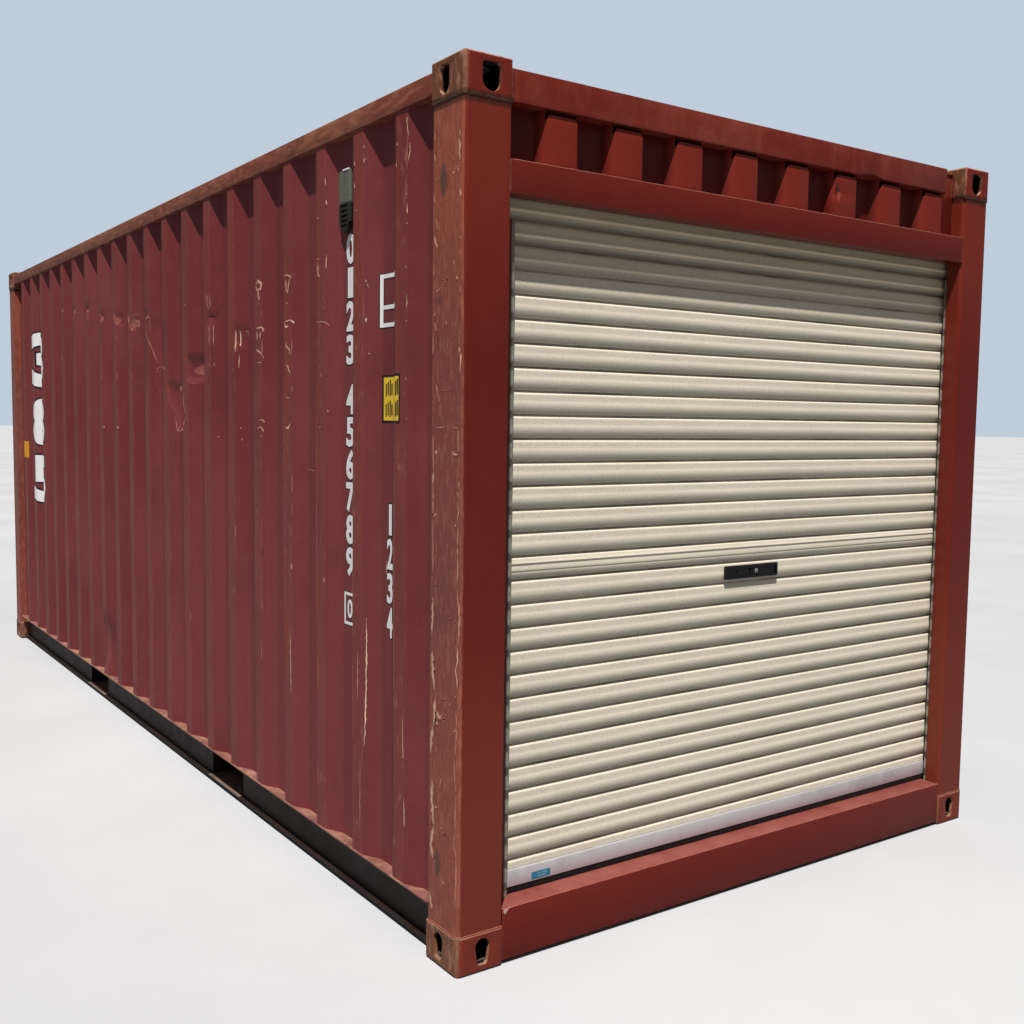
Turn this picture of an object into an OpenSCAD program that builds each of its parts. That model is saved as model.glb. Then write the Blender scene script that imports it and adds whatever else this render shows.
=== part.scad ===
// Twenty foot freight container with a roller door in its blind end.
// X runs along the container with the roller door at +X, Y runs across it and Z is up.
// The origin is on the ground below the middle. Left is -Y, right is +Y, as seen facing the roller door.

/* [Overall size] */
// Length over the corner castings
length = 6058; // [4800:1:9000]
// Width over the corner castings
width = 2438; // [2200:1:2900]
// Height over the corner castings
height = 2591; // [2350:1:3000]

/* [Corner castings] */
// Length of a casting along the container
casting_l = 178; // [170:1:190]
// Width of a casting across the container
casting_w = 162; // [155:1:175]
// Height of a casting
casting_h = 118; // [112:1:125]
// Radius of the rounded edges
casting_r = 12; // [4:1:16]
// Radius of the outer upright edge
casting_corner_r = 26; // [12:1:30]
// Thickness of the plate that holds the long slot
casting_plate = 28; // [20:1:32]
// Thickness of the other walls
casting_wall = 14; // [8:1:18]
// Length of the slot in the top or bottom plate
slot_l = 124.5; // [110:0.5:130]
// Width of the slot in the top or bottom plate
slot_w = 63.5; // [50:0.5:66]
// Distance from the end of the container to the middle of a slot
slot_inset_x = 102.5; // [95:0.5:110]
// Distance from the side of the container to the middle of a slot
slot_inset_y = 89.5; // [80:0.5:95]
// Width of the hole in the long side of a casting
side_hole_w = 50; // [40:1:56]
// Width of the hole in the end of an upper casting
end_hole_w = 62; // [50:1:66]
// Width of the hole in the end of a lower casting
low_end_hole_w = 50; // [44:1:62]
// Height of the side and end holes
hole_h = 80; // [68:1:84]
// Radius of the two upper corners of a shield shaped hole
hole_r = 14; // [6:1:18]

/* [Corner posts] */
// How far the posts stand back from the faces of the castings
post_reveal = 5; // [2:1:10]
// Plate thickness of the posts
post_t = 6; // [4:0.5:8]
// Outside bend radius of the posts
post_r = 16; // [8:1:20]
// Width of a front post across the container
front_post_w = 154; // [130:1:170]
// Depth of a post's side face along the container
front_post_d = 154; // [130:1:165]
// Depth of the return beside the roller door
post_return = 62; // [45:1:80]
// Depth of the lip that the side wall meets
post_lip = 52; // [48:1:70]
// Width of a rear post across the container
rear_post_w = 48; // [44:1:60]
// Width of the narrow outer flange of a rear post
rear_flange = 18; // [14:1:30]

/* [Rails, headers and sills] */
// Drop from the top of the castings to the top of the rails
rail_drop = 25; // [20:1:40]
// Side of the square top rail
top_rail = 60; // [50:1:75]
// Wall of the square top rail
top_rail_t = 3; // [2:0.5:5]
// Height of the front header
header_h = 88; // [70:1:110]
// Depth of a header along the container
header_d = 58; // [50:1:70]
// Wall of a header
header_t = 4; // [3:0.5:6]
// How far the front header stands back from the castings
header_reveal = 7; // [4:1:20]
// How far the right end of the front header is pushed in
header_bend = 44; // [0:1:50]
// Length of the pushed in end of the front header
header_bend_l = 112; // [60:1:200]
// Height of the rear header
rear_header_h = 126; // [115:1:150]
// Gap under the bottom rails
rail_gap = 16; // [12:1:25]
// Height of the bottom side rail
bottom_rail_h = 150; // [140:1:165]
// Plate thickness of the bottom side rail
bottom_rail_t = 4.5; // [3:0.5:6]
// Width of the top flange, on which the side wall stands
top_flange = 50; // [46:1:60]
// Width of the bottom flange
low_flange = 24; // [15:1:40]
// Gap under the sills
sill_gap = 12; // [8:1:20]
// Height of the sills
sill_h = 156; // [145:1:175]
// Depth of the sills along the container
sill_d = 120; // [110:1:140]
// Plate thickness of the sills
sill_t = 6; // [4:0.5:8]

/* [Corrugated walls] */
// Thickness of the wall sheets
sheet_t = 2; // [1.5:0.5:3]
// How far the side wall's crests stand back from the castings
wall_reveal = 10; // [8:1:16]
// Distance from crest to crest of the side walls
side_pitch = 278; // [250:1:300]
// Flat width of a side wall's crest
side_crest = 70; // [50:1:90]
// Width of a side wall's slope
side_slope = 68; // [50:1:75]
// Depth of the side wall's corrugation
side_depth = 36; // [25:1:38]
// Offset of the crests towards the roller door
side_shift = 27; // [-40:1:40]
// Height of the strip of end wall left above the roller door
strip_h = 157; // [100:1:220]
// How far the strip's crests stand back from the castings
strip_reveal = 15; // [12:1:20]
// Distance from crest to crest of the end wall
end_pitch = 250; // [220:1:280]
// Flat width of an end wall's crest
end_crest = 108; // [80:1:115]
// Width of an end wall's slope
end_slope = 18; // [12:1:30]
// Depth of the end wall's corrugation
end_depth = 44; // [30:1:46]
// Gap between the strip's crests and the front header
strip_gap = 13; // [4:1:25]
// Radius of the upper corners of the strip's crests
strip_r = 14; // [6:1:20]

/* [Roof] */
// Distance from crest to crest of the roof
roof_pitch = 209; // [180:1:240]
// Flat width of a roof crest
roof_crest = 91; // [70:1:110]
// Width of a roof crest's slope
roof_slope = 14; // [10:1:25]
// Height of the stamped roof crests
roof_depth = 15; // [8:1:17]
// How far the roof sheet lies in from the outer face of the rails
roof_inset = 22; // [15:1:30]
// Plain border between the sheet's edge and its crests
roof_border = 50; // [42:1:80]

/* [Floor] */
// Thickness of the plywood floor
floor_t = 28; // [20:1:32]
// Height of the cross members
cross_h = 120; // [110:1:124]
// Flange width of the cross members
cross_w = 45; // [35:1:55]
// Plate thickness of the cross members
cross_t = 4; // [3:0.5:6]
// Greatest distance between cross members
cross_pitch = 290; // [240:1:330]
// Width of a forklift pocket
pocket_w = 360; // [330:1:370]
// Distance between the forklift pockets
pocket_pitch = 2050; // [1800:1:2150]
// Offset of the pockets towards the roller door
pocket_shift = 60; // [-80:1:80]
// Thickness of the strap under a pocket's mouth
strap_t = 6; // [4:1:8]
// Width of the strap under a pocket's mouth
strap_w = 200; // [120:1:260]

/* [Roller door] */
// Height of the box beam over the roller door
lintel_h = 93; // [70:1:120]
// Depth of the box beam over the roller door
lintel_d = 60; // [57:1:70]
// Wall of the box beam
lintel_t = 4; // [3:0.5:6]
// How far the left guide shows beside its post
guide_show_left = 59; // [20:1:60]
// How far the right guide shows beside its post
guide_show_right = 8; // [4:1:30]
// Depth of a guide channel across the container
guide_w = 65; // [60:1:72]
// Width of a guide channel along the container
guide_d = 40; // [34:1:46]
// Sheet thickness of the guides
guide_t = 2.5; // [1.5:0.5:4]
// Height of the flared mouth of a guide
guide_flare = 60; // [40:1:90]
// Distance from rib to rib of the curtain
rib_pitch = 70.3; // [60:0.1:80]
// Depth of the curtain's ribs
rib_depth = 12; // [8:1:14]
// Sheet thickness of the curtain
curtain_t = 1.2; // [0.8:0.1:2]
// Gap between the curtain's front and the inside of the guides
curtain_gap = 14; // [12:0.5:16]
// Radius of the wound curtain
roll_r = 115; // [100:1:120]
// Thickness of the wound layers
roll_wall = 14; // [8:1:24]
// Height of the roll's middle above the underside of the box beam
roll_rise = 125; // [120:1:130]
// Radius of the roll's axle
axle_r = 17; // [12:1:25]
// Thickness of the roll's brackets
bracket_t = 6; // [4:1:8]
// Length of the roll's brackets along the container
bracket_l = 120; // [90:1:140]
// How far the brackets reach below the middle of the roll
bracket_drop = 60; // [40:1:80]
// Height of the bar along the foot of the curtain
bar_h = 52; // [40:1:70]
// Height of the rubber seal under the bar
seal_h = 22; // [15:1:30]
// Width of the lock plate
lock_w = 260; // [200:1:320]
// Height of the lock plate
lock_h = 46; // [36:1:60]
// Height of the lock above the sill
lock_rise = 897; // [700:1:1100]

/* [Cargo doors] */
// Depth from the rear face of the posts to the seats of the cargo doors
door_recess = 106; // [100:1:112]
// Thickness of a cargo door
leaf_t = 50; // [44:1:54]
// Width of the steel frame of a cargo door
leaf_frame = 90; // [70:1:110]
// Gap around a cargo door
leaf_gap = 6; // [4:1:10]
// Thickness of the door seals
gasket_t = 3; // [2:0.5:4]
// Depth of the corrugation in the door panels
leaf_depth = 34; // [20:1:38]
// Radius of a locking bar
bar_r = 17; // [14:1:19]
// Distance of the inner locking bars from the middle
bar_inner = 280; // [200:1:330]
// Distance of the outer locking bars from the middle
bar_outer = 830; // [700:1:900]
// Height of the locking handles above the ground
handle_z = 1120; // [900:1:1300]
// Length of a locking handle
handle_l = 440; // [350:1:480]
// Height of a hinge
hinge_h = 130; // [100:1:160]
// Height of a clamp on a locking bar
clamp_h = 60; // [40:1:80]
// Distance of the end clamps from the upper and lower edge of a door
clamp_end = 125; // [90:1:180]
// Distance of the middle clamps from the handles
clamp_reach = 260; // [200:1:320]

/* [Ventilator] */
// Width of a ventilator
vent_w = 80; // [60:1:90]
// Height of a ventilator
vent_h = 200; // [150:1:230]
// Drop from the top rail to a ventilator
vent_drop = 101; // [80:1:160]
// How far a ventilator stands off the valley of the wall
vent_d = 17; // [12:1:30]

/* [Hidden] */
$fn = 48;
cut = 1;
seat = 0.3;
half_l = length / 2;
half_w = width / 2;
face_x = half_l - post_reveal;
face_y = half_w - post_reveal;
rail_top = height - rail_drop;
top_rail_z = rail_top - top_rail;
header_x = half_l - header_reveal;
header_z = rail_top - header_h;
header_y = half_w - casting_w;
inner_y = face_y - front_post_w;
wall_end = face_x - front_post_d;
wall_y = half_w - wall_reveal;
wall_z = rail_gap + bottom_rail_h;
web_y = face_y - top_flange;
inner_web_y = web_y - bottom_rail_t;
sill_top = sill_gap + sill_h;
floor_z = sill_top - floor_t;
cross_z = floor_z - cross_h;
lintel_top = header_z - strip_h;
lintel_z = lintel_top - lintel_h;
lintel_x = face_x - lintel_d;
guide_x = face_x - post_return;
guide_in = inner_y - (guide_show_left + guide_show_right) / 2;
door_shift = (guide_show_left - guide_show_right) / 2;
guide_out = guide_in + guide_w;
curtain_x = guide_x - guide_t - curtain_gap;
curtain_y = guide_out - guide_t - 8;
bar_z = sill_top + seal_h;
curtain_z = bar_z + bar_h;
roll_z = lintel_z + roll_rise;
roll_x = curtain_x - rib_depth - curtain_t - seat - roll_r;
seat_x = face_x - door_recess;
rear_box_d = front_post_d - door_recess;
leaf_x = seat_x + gasket_t;
leaf_face = leaf_x + leaf_t;
leaf_z = sill_top + leaf_gap;
leaf_top = rail_top - rear_header_h - leaf_gap;
leaf_y = face_y - post_t - 2 * leaf_gap;
bar_x = leaf_face + bar_r + 4;
keeper_t = 10;
pocket_xs = [pocket_shift - pocket_pitch / 2, pocket_shift + pocket_pitch / 2];
pocket_z = rail_gap + strap_t;
pocket_top = floor_z - 3;
paint = [0.36, 0.16, 0.16];
fresh = [0.44, 0.15, 0.13];

// Shared shapes

module block(low, high) {
    translate(low) cube(high - low);
}

module on_side(side) {
    if (side > 0) mirror([0, 1, 0]) children();
    else children();
}

module both_sides() {
    children();
    mirror([0, 1, 0]) children();
}

module at_rear() {
    mirror([1, 0, 0]) children();
}

// Rectangle with rounded corners, from its lower left corner
module rounded(size, r) {
    translate([r, 0]) square([size.x - 2 * r, size.y]);
    translate([0, r]) square([size.x, size.y - 2 * r]);
    for (x = [r, size.x - r], y = [r, size.y - r]) translate([x, y]) circle(r = r);
}

// Rectangular tube between two corners, open along one axis
module box_tube(low, high, t, axis) {
    reach = [for (i = [0:2]) i == axis ? -cut : t];
    difference() {
        block(low, high);
        block(low + reach, high - reach);
    }
}

// Number of crests that fit a sheet of a given length
function crests(span, pitch, crest, slope, shift) =
    1 + floor((span - crest - 2 * slope - 2 * abs(shift)) / pitch);

// Outline of a folded sheet: crests at depth 0 and valleys at full depth, offset by a thickness
function fold(span, pitch, crest, slope, depth, shift, off) =
    let (n = crests(span, pitch, crest, slope, shift), turn = off * tan(atan2(depth, slope) / 2))
    concat(
        [[-span / 2, depth + off]],
        [for (i = [0:n - 1], k = [0:3])
            let (mid = (i - (n - 1) / 2) * pitch + shift,
                 reach = crest / 2 - turn + (k == 0 || k == 3 ? slope : 0))
            [mid + (k < 2 ? -reach : reach), (k == 0 || k == 3 ? depth : 0) + off]],
        [[span / 2, depth + off]]
    );

function backwards(points) = [for (i = [len(points) - 1:-1:0]) points[i]];

module folded_sheet(span, pitch, crest, slope, depth, shift, t) {
    polygon(concat(
        fold(span, pitch, crest, slope, depth, shift, 0),
        backwards(fold(span, pitch, crest, slope, depth, shift, t))
    ));
}

// Corner castings

// Shield: straight top and round foot
module shield(w) {
    translate([0, -hole_h / 2 + w / 2]) circle(d = w);
    translate([-w / 2, -hole_h / 2 + w / 2]) square([w, hole_h - w / 2 - hole_r]);
    translate([-w / 2 + hole_r, hole_h / 2 - 2 * hole_r]) square([w - 2 * hole_r, 2 * hole_r]);
    for (x = [-w / 2 + hole_r, w / 2 - hole_r]) translate([x, hole_h / 2 - hole_r]) circle(r = hole_r);
}

// Arch: round top and narrower foot
module arch(w) {
    translate([0, hole_h / 2 - w / 2]) circle(d = w);
    polygon([
        [-w / 2, hole_h / 2 - w / 2], [w / 2, hole_h / 2 - w / 2],
        [w * 0.36, -hole_h / 2 + 8], [w * 0.22, -hole_h / 2], [-w * 0.22, -hole_h / 2],
        [-w * 0.36, -hole_h / 2 + 8]
    ]);
}

module hole_shape(w, top) {
    if (top) rotate(180) mirror([1, 0]) shield(w);
    else arch(w);
}

// Bottom casting at the front left corner, with its slot in the lower plate
module casting_body(top) {
    outer_x = half_l;
    outer_y = -half_w;
    cavity = casting_h - casting_plate - casting_wall;
    difference() {
        intersection() {
            translate([outer_x - casting_l, outer_y, 0])
                linear_extrude(casting_h) rounded([casting_l, casting_w], casting_r);
            translate([outer_x - 2 * casting_l, outer_y, 0])
                linear_extrude(casting_h) rounded([2 * casting_l, 2 * casting_w], casting_corner_r);
            translate([outer_x, outer_y, 0]) rotate([90, 0, -90])
                translate([-casting_w, 0])
                linear_extrude(casting_l) rounded([casting_w, casting_h], casting_r);
            translate([outer_x - casting_l, outer_y + casting_w, 0]) rotate([90, 0, 0])
                linear_extrude(casting_w) rounded([casting_l, casting_h], casting_r);
        }
        translate([outer_x - casting_l + casting_wall, outer_y + casting_wall, casting_plate])
            cube([casting_l - 2 * casting_wall, casting_w - 2 * casting_wall, cavity]);
        translate([outer_x - slot_inset_x, outer_y + slot_inset_y, -cut])
            linear_extrude(casting_plate + 2 * cut)
            translate([-slot_l / 2, -slot_w / 2]) rounded([slot_l, slot_w], slot_w / 2 - 0.01);
        translate([outer_x - slot_inset_x, outer_y + casting_wall + cut, casting_h / 2 + 2])
            rotate([90, 0, 0]) linear_extrude(casting_wall + 2 * cut) hole_shape(side_hole_w, top);
        translate([outer_x - casting_wall - cut, outer_y + slot_inset_y, casting_h / 2 + 2])
            rotate([90, 0, 90]) linear_extrude(casting_wall + 2 * cut)
            hole_shape(top ? end_hole_w : low_end_hole_w, top);
    }
}

module casting(rear, right, top) {
    color([0.45, 0.25, 0.20])
        mirror([rear ? 1 : 0, 0, 0]) mirror([0, right ? 1 : 0, 0])
        translate([0, 0, top ? height : 0]) mirror([0, 0, top ? 1 : 0]) casting_body(top);
}

// Corner posts

module front_post(side) {
    color(fresh) on_side(side)
        translate([face_x, -face_y, casting_h]) mirror([1, 0, 0])
        linear_extrude(height - 2 * casting_h) difference() {
            rounded([front_post_d, front_post_w], post_r);
            translate([post_t, post_t])
                rounded([front_post_d - 2 * post_t, front_post_w - 2 * post_t], post_r - post_t);
            translate([post_return, post_lip]) square([front_post_d, front_post_w]);
        }
}

// The cargo doors close against the seat face of the inner box
module rear_post(side) {
    color(paint) on_side(side) at_rear()
        translate([face_x, -face_y, casting_h]) mirror([1, 0, 0])
        linear_extrude(height - 2 * casting_h) difference() {
            union() {
                intersection() {
                    square([door_recess + rear_box_d, rear_flange]);
                    difference() {
                        rounded([length, width], post_r);
                        translate([post_t, post_t]) rounded([length, width], post_r - post_t);
                    }
                }
                translate([door_recess, 0]) square([rear_box_d, rear_post_w]);
            }
            translate([door_recess + post_t, post_t])
                square([rear_box_d - 2 * post_t, rear_post_w - 2 * post_t]);
        }
}

// Rails, headers and sills

module top_side_rail(side) {
    end_x = half_l - casting_l;
    color([0.50, 0.29, 0.24]) on_side(side)
        box_tube([-end_x, -face_y, top_rail_z], [end_x, -face_y + top_rail, rail_top], top_rail_t, 0);
}

// Channel that opens outwards: an upper angle, and a lower web with a flange between the forklift pockets
module bottom_side_rail(side) {
    end_x = half_l - casting_l;
    half = pocket_w / 2;
    stops = [
        -end_x, pocket_xs[0] - half, pocket_xs[0] + half, pocket_xs[1] - half, pocket_xs[1] + half, end_x
    ];
    color([0.20, 0.15, 0.14]) on_side(side) {
        block([-end_x, -face_y, wall_z - bottom_rail_t], [end_x, -inner_web_y, wall_z]);
        block([-end_x, -web_y, pocket_top], [end_x, -inner_web_y, wall_z]);
        for (i = [0, 2, 4]) {
            block([stops[i], -web_y, rail_gap], [stops[i + 1], -inner_web_y, pocket_top - seat]);
            block([stops[i], -web_y - low_flange, rail_gap],
                [stops[i + 1], -inner_web_y, rail_gap + bottom_rail_t]);
        }
    }
}

// Plan of the front header, whose right end was pushed in, less a given thickness all round
module header_plan(t) {
    back = header_x - header_d + t;
    front = header_x - t;
    bend_y = header_y - header_bend_l;
    low_front = max(front - header_bend, back + 2);
    reach = t > 0 ? cut : 0;
    polygon([
        [back, -header_y - reach], [front, -header_y - reach], [front, bend_y],
        [front - (front - low_front) * 0.85, bend_y + header_bend_l * 0.6],
        [low_front, header_y + reach], [back, header_y + reach]
    ]);
}

module front_header() {
    color(fresh) difference() {
        translate([0, 0, header_z]) linear_extrude(header_h) header_plan(0);
        translate([0, 0, header_z + header_t]) linear_extrude(header_h - 2 * header_t) header_plan(header_t);
    }
}

module rear_header() {
    color(paint)
        box_tube([-leaf_face, -header_y, rail_top - rear_header_h], [-leaf_face + header_d, header_y, rail_top],
            header_t, 1);
}

// Channel with its open side inwards
module sill(x, rear) {
    module channel() {
        difference() {
            block([x - sill_d, -header_y, sill_gap], [x, header_y, sill_top]);
            block([x - sill_d - cut, -header_y - cut, sill_gap + sill_t],
                [x - sill_t, header_y + cut, sill_top - sill_t]);
        }
    }
    if (rear) at_rear() channel();
    else channel();
}

module front_sill() { color(fresh) sill(face_x, false); }

module rear_sill() { color(paint) sill(leaf_face, true); }

// Walls and roof

module side_wall(side) {
    color(paint) on_side(side)
        translate([0, -wall_y, wall_z]) linear_extrude(top_rail_z - wall_z)
        folded_sheet(2 * wall_end, side_pitch, side_crest, side_slope, side_depth, side_shift, sheet_t);
}

// The crests end in rounded corners below the header, and the valleys reach it
module end_wall_strip() {
    n = crests(2 * inner_y, end_pitch, end_crest, end_slope, 0);
    tall = header_z - lintel_top;
    color(fresh) translate([half_l - strip_reveal, 0, lintel_top]) rotate([0, 0, 90]) difference() {
        linear_extrude(tall) folded_sheet(2 * inner_y, end_pitch, end_crest, end_slope, end_depth, 0, sheet_t);
        for (i = [0:n - 1])
            translate([(i - (n - 1) / 2) * end_pitch, 10, tall - strip_gap - strip_r]) rotate([90, 0, 0])
                linear_extrude(10 + cut) difference() {
                    translate([-end_crest / 2 - 8, 0]) square([end_crest + 16, strip_gap + strip_r + cut]);
                    translate([-end_crest / 2, -2 * strip_r]) rounded([end_crest, 3 * strip_r], strip_r);
                }
    }
}

// Stamped crests whose ends slope down to a plain border
module roof_form(drop) {
    half_x = half_l - casting_l - roof_border;
    half_y = face_y - roof_inset - roof_border;
    end_run = roof_slope * 2;
    span = 2 * half_x;
    n = crests(span, roof_pitch, roof_crest, roof_slope, 0);
    intersection() {
        translate([0, half_y, rail_top - drop]) rotate([90, 0, 0]) linear_extrude(2 * half_y)
            for (i = [0:n - 1]) translate([(i - (n - 1) / 2) * roof_pitch, 0])
                polygon([
                    [-roof_crest / 2 - roof_slope + drop, 0], [roof_crest / 2 + roof_slope - drop, 0],
                    [roof_crest / 2 - drop, sheet_t + roof_depth], [-roof_crest / 2 + drop, sheet_t + roof_depth]
                ]);
        translate([-half_x, 0, rail_top - drop]) rotate([90, 0, 90]) linear_extrude(span)
            polygon([
                [-half_y + drop, 0], [half_y - drop, 0],
                [half_y - end_run - drop, sheet_t + roof_depth], [-half_y + end_run + drop, sheet_t + roof_depth]
            ]);
    }
}

module roof_panel() {
    edge_y = face_y - roof_inset;
    edge_x = half_l - casting_l;
    color(paint) difference() {
        union() {
            block([-edge_x, -edge_y, rail_top], [edge_x, edge_y, rail_top + sheet_t]);
            block([-leaf_face, -header_y, rail_top], [-edge_x, header_y, rail_top + sheet_t]);
            block([edge_x, -header_y, rail_top], [header_x - header_d + 8, header_y, rail_top + sheet_t]);
            roof_form(0);
        }
        roof_form(sheet_t);
    }
}

// Floor

module floor_boards() {
    color([0.55, 0.42, 0.28])
        block([-leaf_face + sill_d, -inner_web_y, floor_z], [face_x - sill_d, inner_web_y, sill_top]);
}

// Channel across the container, open towards +X
module cross_member(x) {
    block([x, -inner_web_y, cross_z], [x + cross_t, inner_web_y, floor_z]);
    block([x, -inner_web_y, cross_z], [x + cross_w, inner_web_y, cross_z + cross_t]);
    block([x, -inner_web_y, floor_z - cross_t], [x + cross_w, inner_web_y, floor_z]);
}

// Cross members share out the floor's length on both sides of each pocket
module cross_members() {
    reach = pocket_w / 2 + cross_w + 4 * cross_t;
    stops = [-leaf_face + sill_d, pocket_xs[0] - reach, pocket_xs[0] + reach,
             pocket_xs[1] - reach, pocket_xs[1] + reach, face_x - sill_d];
    color([0.20, 0.15, 0.14])
        for (bay = [0, 2, 4]) {
            span = stops[bay + 1] - stops[bay];
            n = ceil(span / cross_pitch);
            for (i = [1:n - 1]) cross_member(stops[bay] + i * span / n - cross_w / 2);
        }
}

// Two channels, a top plate and a strap that closes the underside of each mouth
module forklift_pocket(x) {
    half = pocket_w / 2;
    color([0.20, 0.15, 0.14]) {
        for (s = [-1, 1]) {
            near = x + s * half;
            far = x + s * (half + cross_w);
            wall = x + s * (half + cross_t);
            block([min(near, wall), -inner_web_y, cross_z], [max(near, wall), inner_web_y, floor_z]);
            block([min(near, far), -inner_web_y, cross_z], [max(near, far), inner_web_y, cross_z + cross_t]);
            block([min(near, far), -inner_web_y, floor_z - cross_t], [max(near, far), inner_web_y, floor_z]);
        }
        block([x - half + seat, -inner_web_y, pocket_top], [x + half - seat, inner_web_y, floor_z]);
        both_sides()
            block([x - half + seat, -web_y - low_flange, rail_gap],
                [x + half - seat, -inner_web_y + strap_w, pocket_z]);
    }
}

// Roller door

module door_lintel() {
    color(fresh)
        box_tube([lintel_x, -inner_y, lintel_z], [face_x, inner_y, lintel_top], lintel_t, 1);
}

// Channel that opens towards the curtain, with a flared mouth at its head
module guide(side) {
    inner = guide_x - guide_t;
    rear = guide_x - guide_d;
    top = lintel_z;
    foot = sill_top;
    edge = -guide_in;
    color([0.50, 0.48, 0.46]) translate([0, door_shift, 0]) on_side(side) {
        block([inner, -guide_out, foot], [guide_x, edge, top - guide_flare]);
        block([rear, -guide_out, foot], [guide_x, -guide_out + guide_t, top + roll_rise / 2]);
        block([rear, -guide_out, foot], [rear + guide_t, edge, top - guide_flare]);
        translate([0, edge, top - guide_flare]) rotate([90, 0, 0]) linear_extrude(guide_w) polygon([
            [rear, 0], [rear + guide_t, 0], [rear + guide_t - 7, guide_flare], [rear - 7, guide_flare]
        ]);
        block([inner, -guide_out, top - guide_flare], [guide_x, edge - guide_w / 3, top]);
    }
}

// One rib, from its groove down to the next: quick shoulder, long even slope, crown and curl back
function rib() = [[0, 1], [0.05, 0.84], [0.12, 0.52], [0.25, 0.36], [0.4, 0.26], [0.52, 0.06], [0.62, 0],
    [0.78, 0.12], [0.92, 0.36]];

// Front line of the curtain from its foot up to the roll
function curtain_line(off) =
    let (n = floor((roll_z - curtain_z) / rib_pitch))
    concat(
        [for (i = [0:n - 1], p = backwards(rib()))
            [curtain_x - p.y * rib_depth - off, curtain_z + (i + 1 - p.x) * rib_pitch - 0.06 * rib_pitch]],
        [[curtain_x - rib_depth - off, roll_z]]
    );

module roller_curtain() {
    color([0.85, 0.80, 0.70])
        translate([0, door_shift + curtain_y, 0]) rotate([90, 0, 0])
        linear_extrude(2 * curtain_y)
        polygon(concat(
            [[curtain_x - rib_depth, curtain_z]], curtain_line(0),
            backwards(curtain_line(curtain_t)), [[curtain_x - rib_depth - curtain_t, curtain_z]]
        ));
}

module curtain_roll() {
    reach = curtain_y;
    color([0.85, 0.80, 0.70]) translate([roll_x, door_shift, roll_z]) rotate([90, 0, 0]) {
        difference() {
            cylinder(r = roll_r, h = 2 * reach, center = true);
            cylinder(r = roll_r - roll_wall, h = 2 * reach + cut, center = true);
        }
        for (y = [-reach + 10, 0, reach - 10])
            translate([0, 0, y]) cylinder(r = roll_r - roll_wall + 1, h = 5, center = true);
        cylinder(r = axle_r, h = 2 * bracket_y(), center = true);
    }
}

function bracket_y() = face_y - top_rail - 14 - abs(door_shift);

// Hanging plates that carry the axle's ends, welded to the top rails
module roll_brackets() {
    inner = face_y - top_rail;
    front = min(roll_x + bracket_l / 2, half_l - casting_l - 5);
    both = [[-1, -bracket_y() + door_shift], [1, bracket_y() + door_shift]];
    color([0.35, 0.35, 0.36])
        for (b = both) {
            side = b[0];
            near = b[1];
            far = near + side * bracket_t;
            edge = side * inner;
            block([front - bracket_l, min(near, far), roll_z - bracket_drop],
                [front, max(near, far), rail_top - 8]);
            block([front - bracket_l, min(near, edge), rail_top - 8 - bracket_t],
                [front, max(near, edge), rail_top - 8]);
        }
}

// Aluminium bar along the foot of the curtain
module bottom_bar() {
    back = curtain_x - rib_depth - curtain_t - 8;
    front = curtain_x + 3;
    low = bar_z;
    color([0.72, 0.70, 0.72]) translate([0, door_shift + curtain_y, 0]) rotate([90, 0, 0])
        linear_extrude(2 * curtain_y) polygon([
            [back, low], [front, low], [front, low + bar_h - 6], [front - 3, low + bar_h],
            [curtain_x - rib_depth - curtain_t - 4, low + bar_h],
            [curtain_x - rib_depth - curtain_t - 4, low + 5], [back, low + 5]
        ]);
}

// Hollow rubber seal that rests on the sill
module bottom_seal() {
    back = curtain_x - rib_depth - curtain_t - 6;
    front = curtain_x + 1;
    color([0.06, 0.06, 0.06]) translate([0, door_shift + curtain_y, sill_top]) rotate([90, 0, 0])
        linear_extrude(2 * curtain_y) difference() {
            translate([back, 0]) rounded([front - back, seal_h], 5);
            translate([back + 4, 4]) rounded([front - back - 8, seal_h - 8], 3);
        }
}

// Recessed lock plate with its lifting grip and key barrel
module curtain_lock() {
    z = sill_top + lock_rise;
    front = curtain_x + 7;
    color([0.05, 0.05, 0.05]) translate([0, door_shift, z]) {
        difference() {
            translate([curtain_x + 0.3, -lock_w / 2, 0]) rotate([90, 0, 90])
                linear_extrude(6.7) rounded([lock_w, lock_h], 6);
            translate([curtain_x + 3, -lock_w / 2 + 8, 0]) rotate([90, 0, 90])
                translate([0, 8]) linear_extrude(6.7) rounded([lock_w - 16, lock_h - 16], 4);
        }
        translate([curtain_x + 2.5, 0, lock_h / 2]) rotate([0, 90, 0])
            cylinder(r = 9, h = front - curtain_x - 1);
        block([curtain_x + 2.5, -70, lock_h / 2 - 4], [front - 1, 0, lock_h / 2 + 4]);
    }
}

// Cargo doors, closed

module cargo_door(side) {
    near = leaf_gap / 2;
    panel_w = leaf_y - near - 2 * leaf_frame;
    mid_y = -(leaf_y + near) / 2;
    low = leaf_z + leaf_frame;
    high = leaf_top - leaf_frame;
    color(paint) on_side(side) at_rear() {
        difference() {
            block([leaf_x, -leaf_y, leaf_z], [leaf_face, -near, leaf_top]);
            block([leaf_x - cut, -leaf_y + leaf_frame, low], [leaf_face + cut, -near - leaf_frame, high]);
        }
        translate([leaf_face - 4, mid_y, low]) rotate([0, 0, 90]) linear_extrude(high - low)
            folded_sheet(panel_w, panel_w / 3, panel_w / 6, panel_w / 16, leaf_depth, 0, sheet_t);
    }
}

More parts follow.
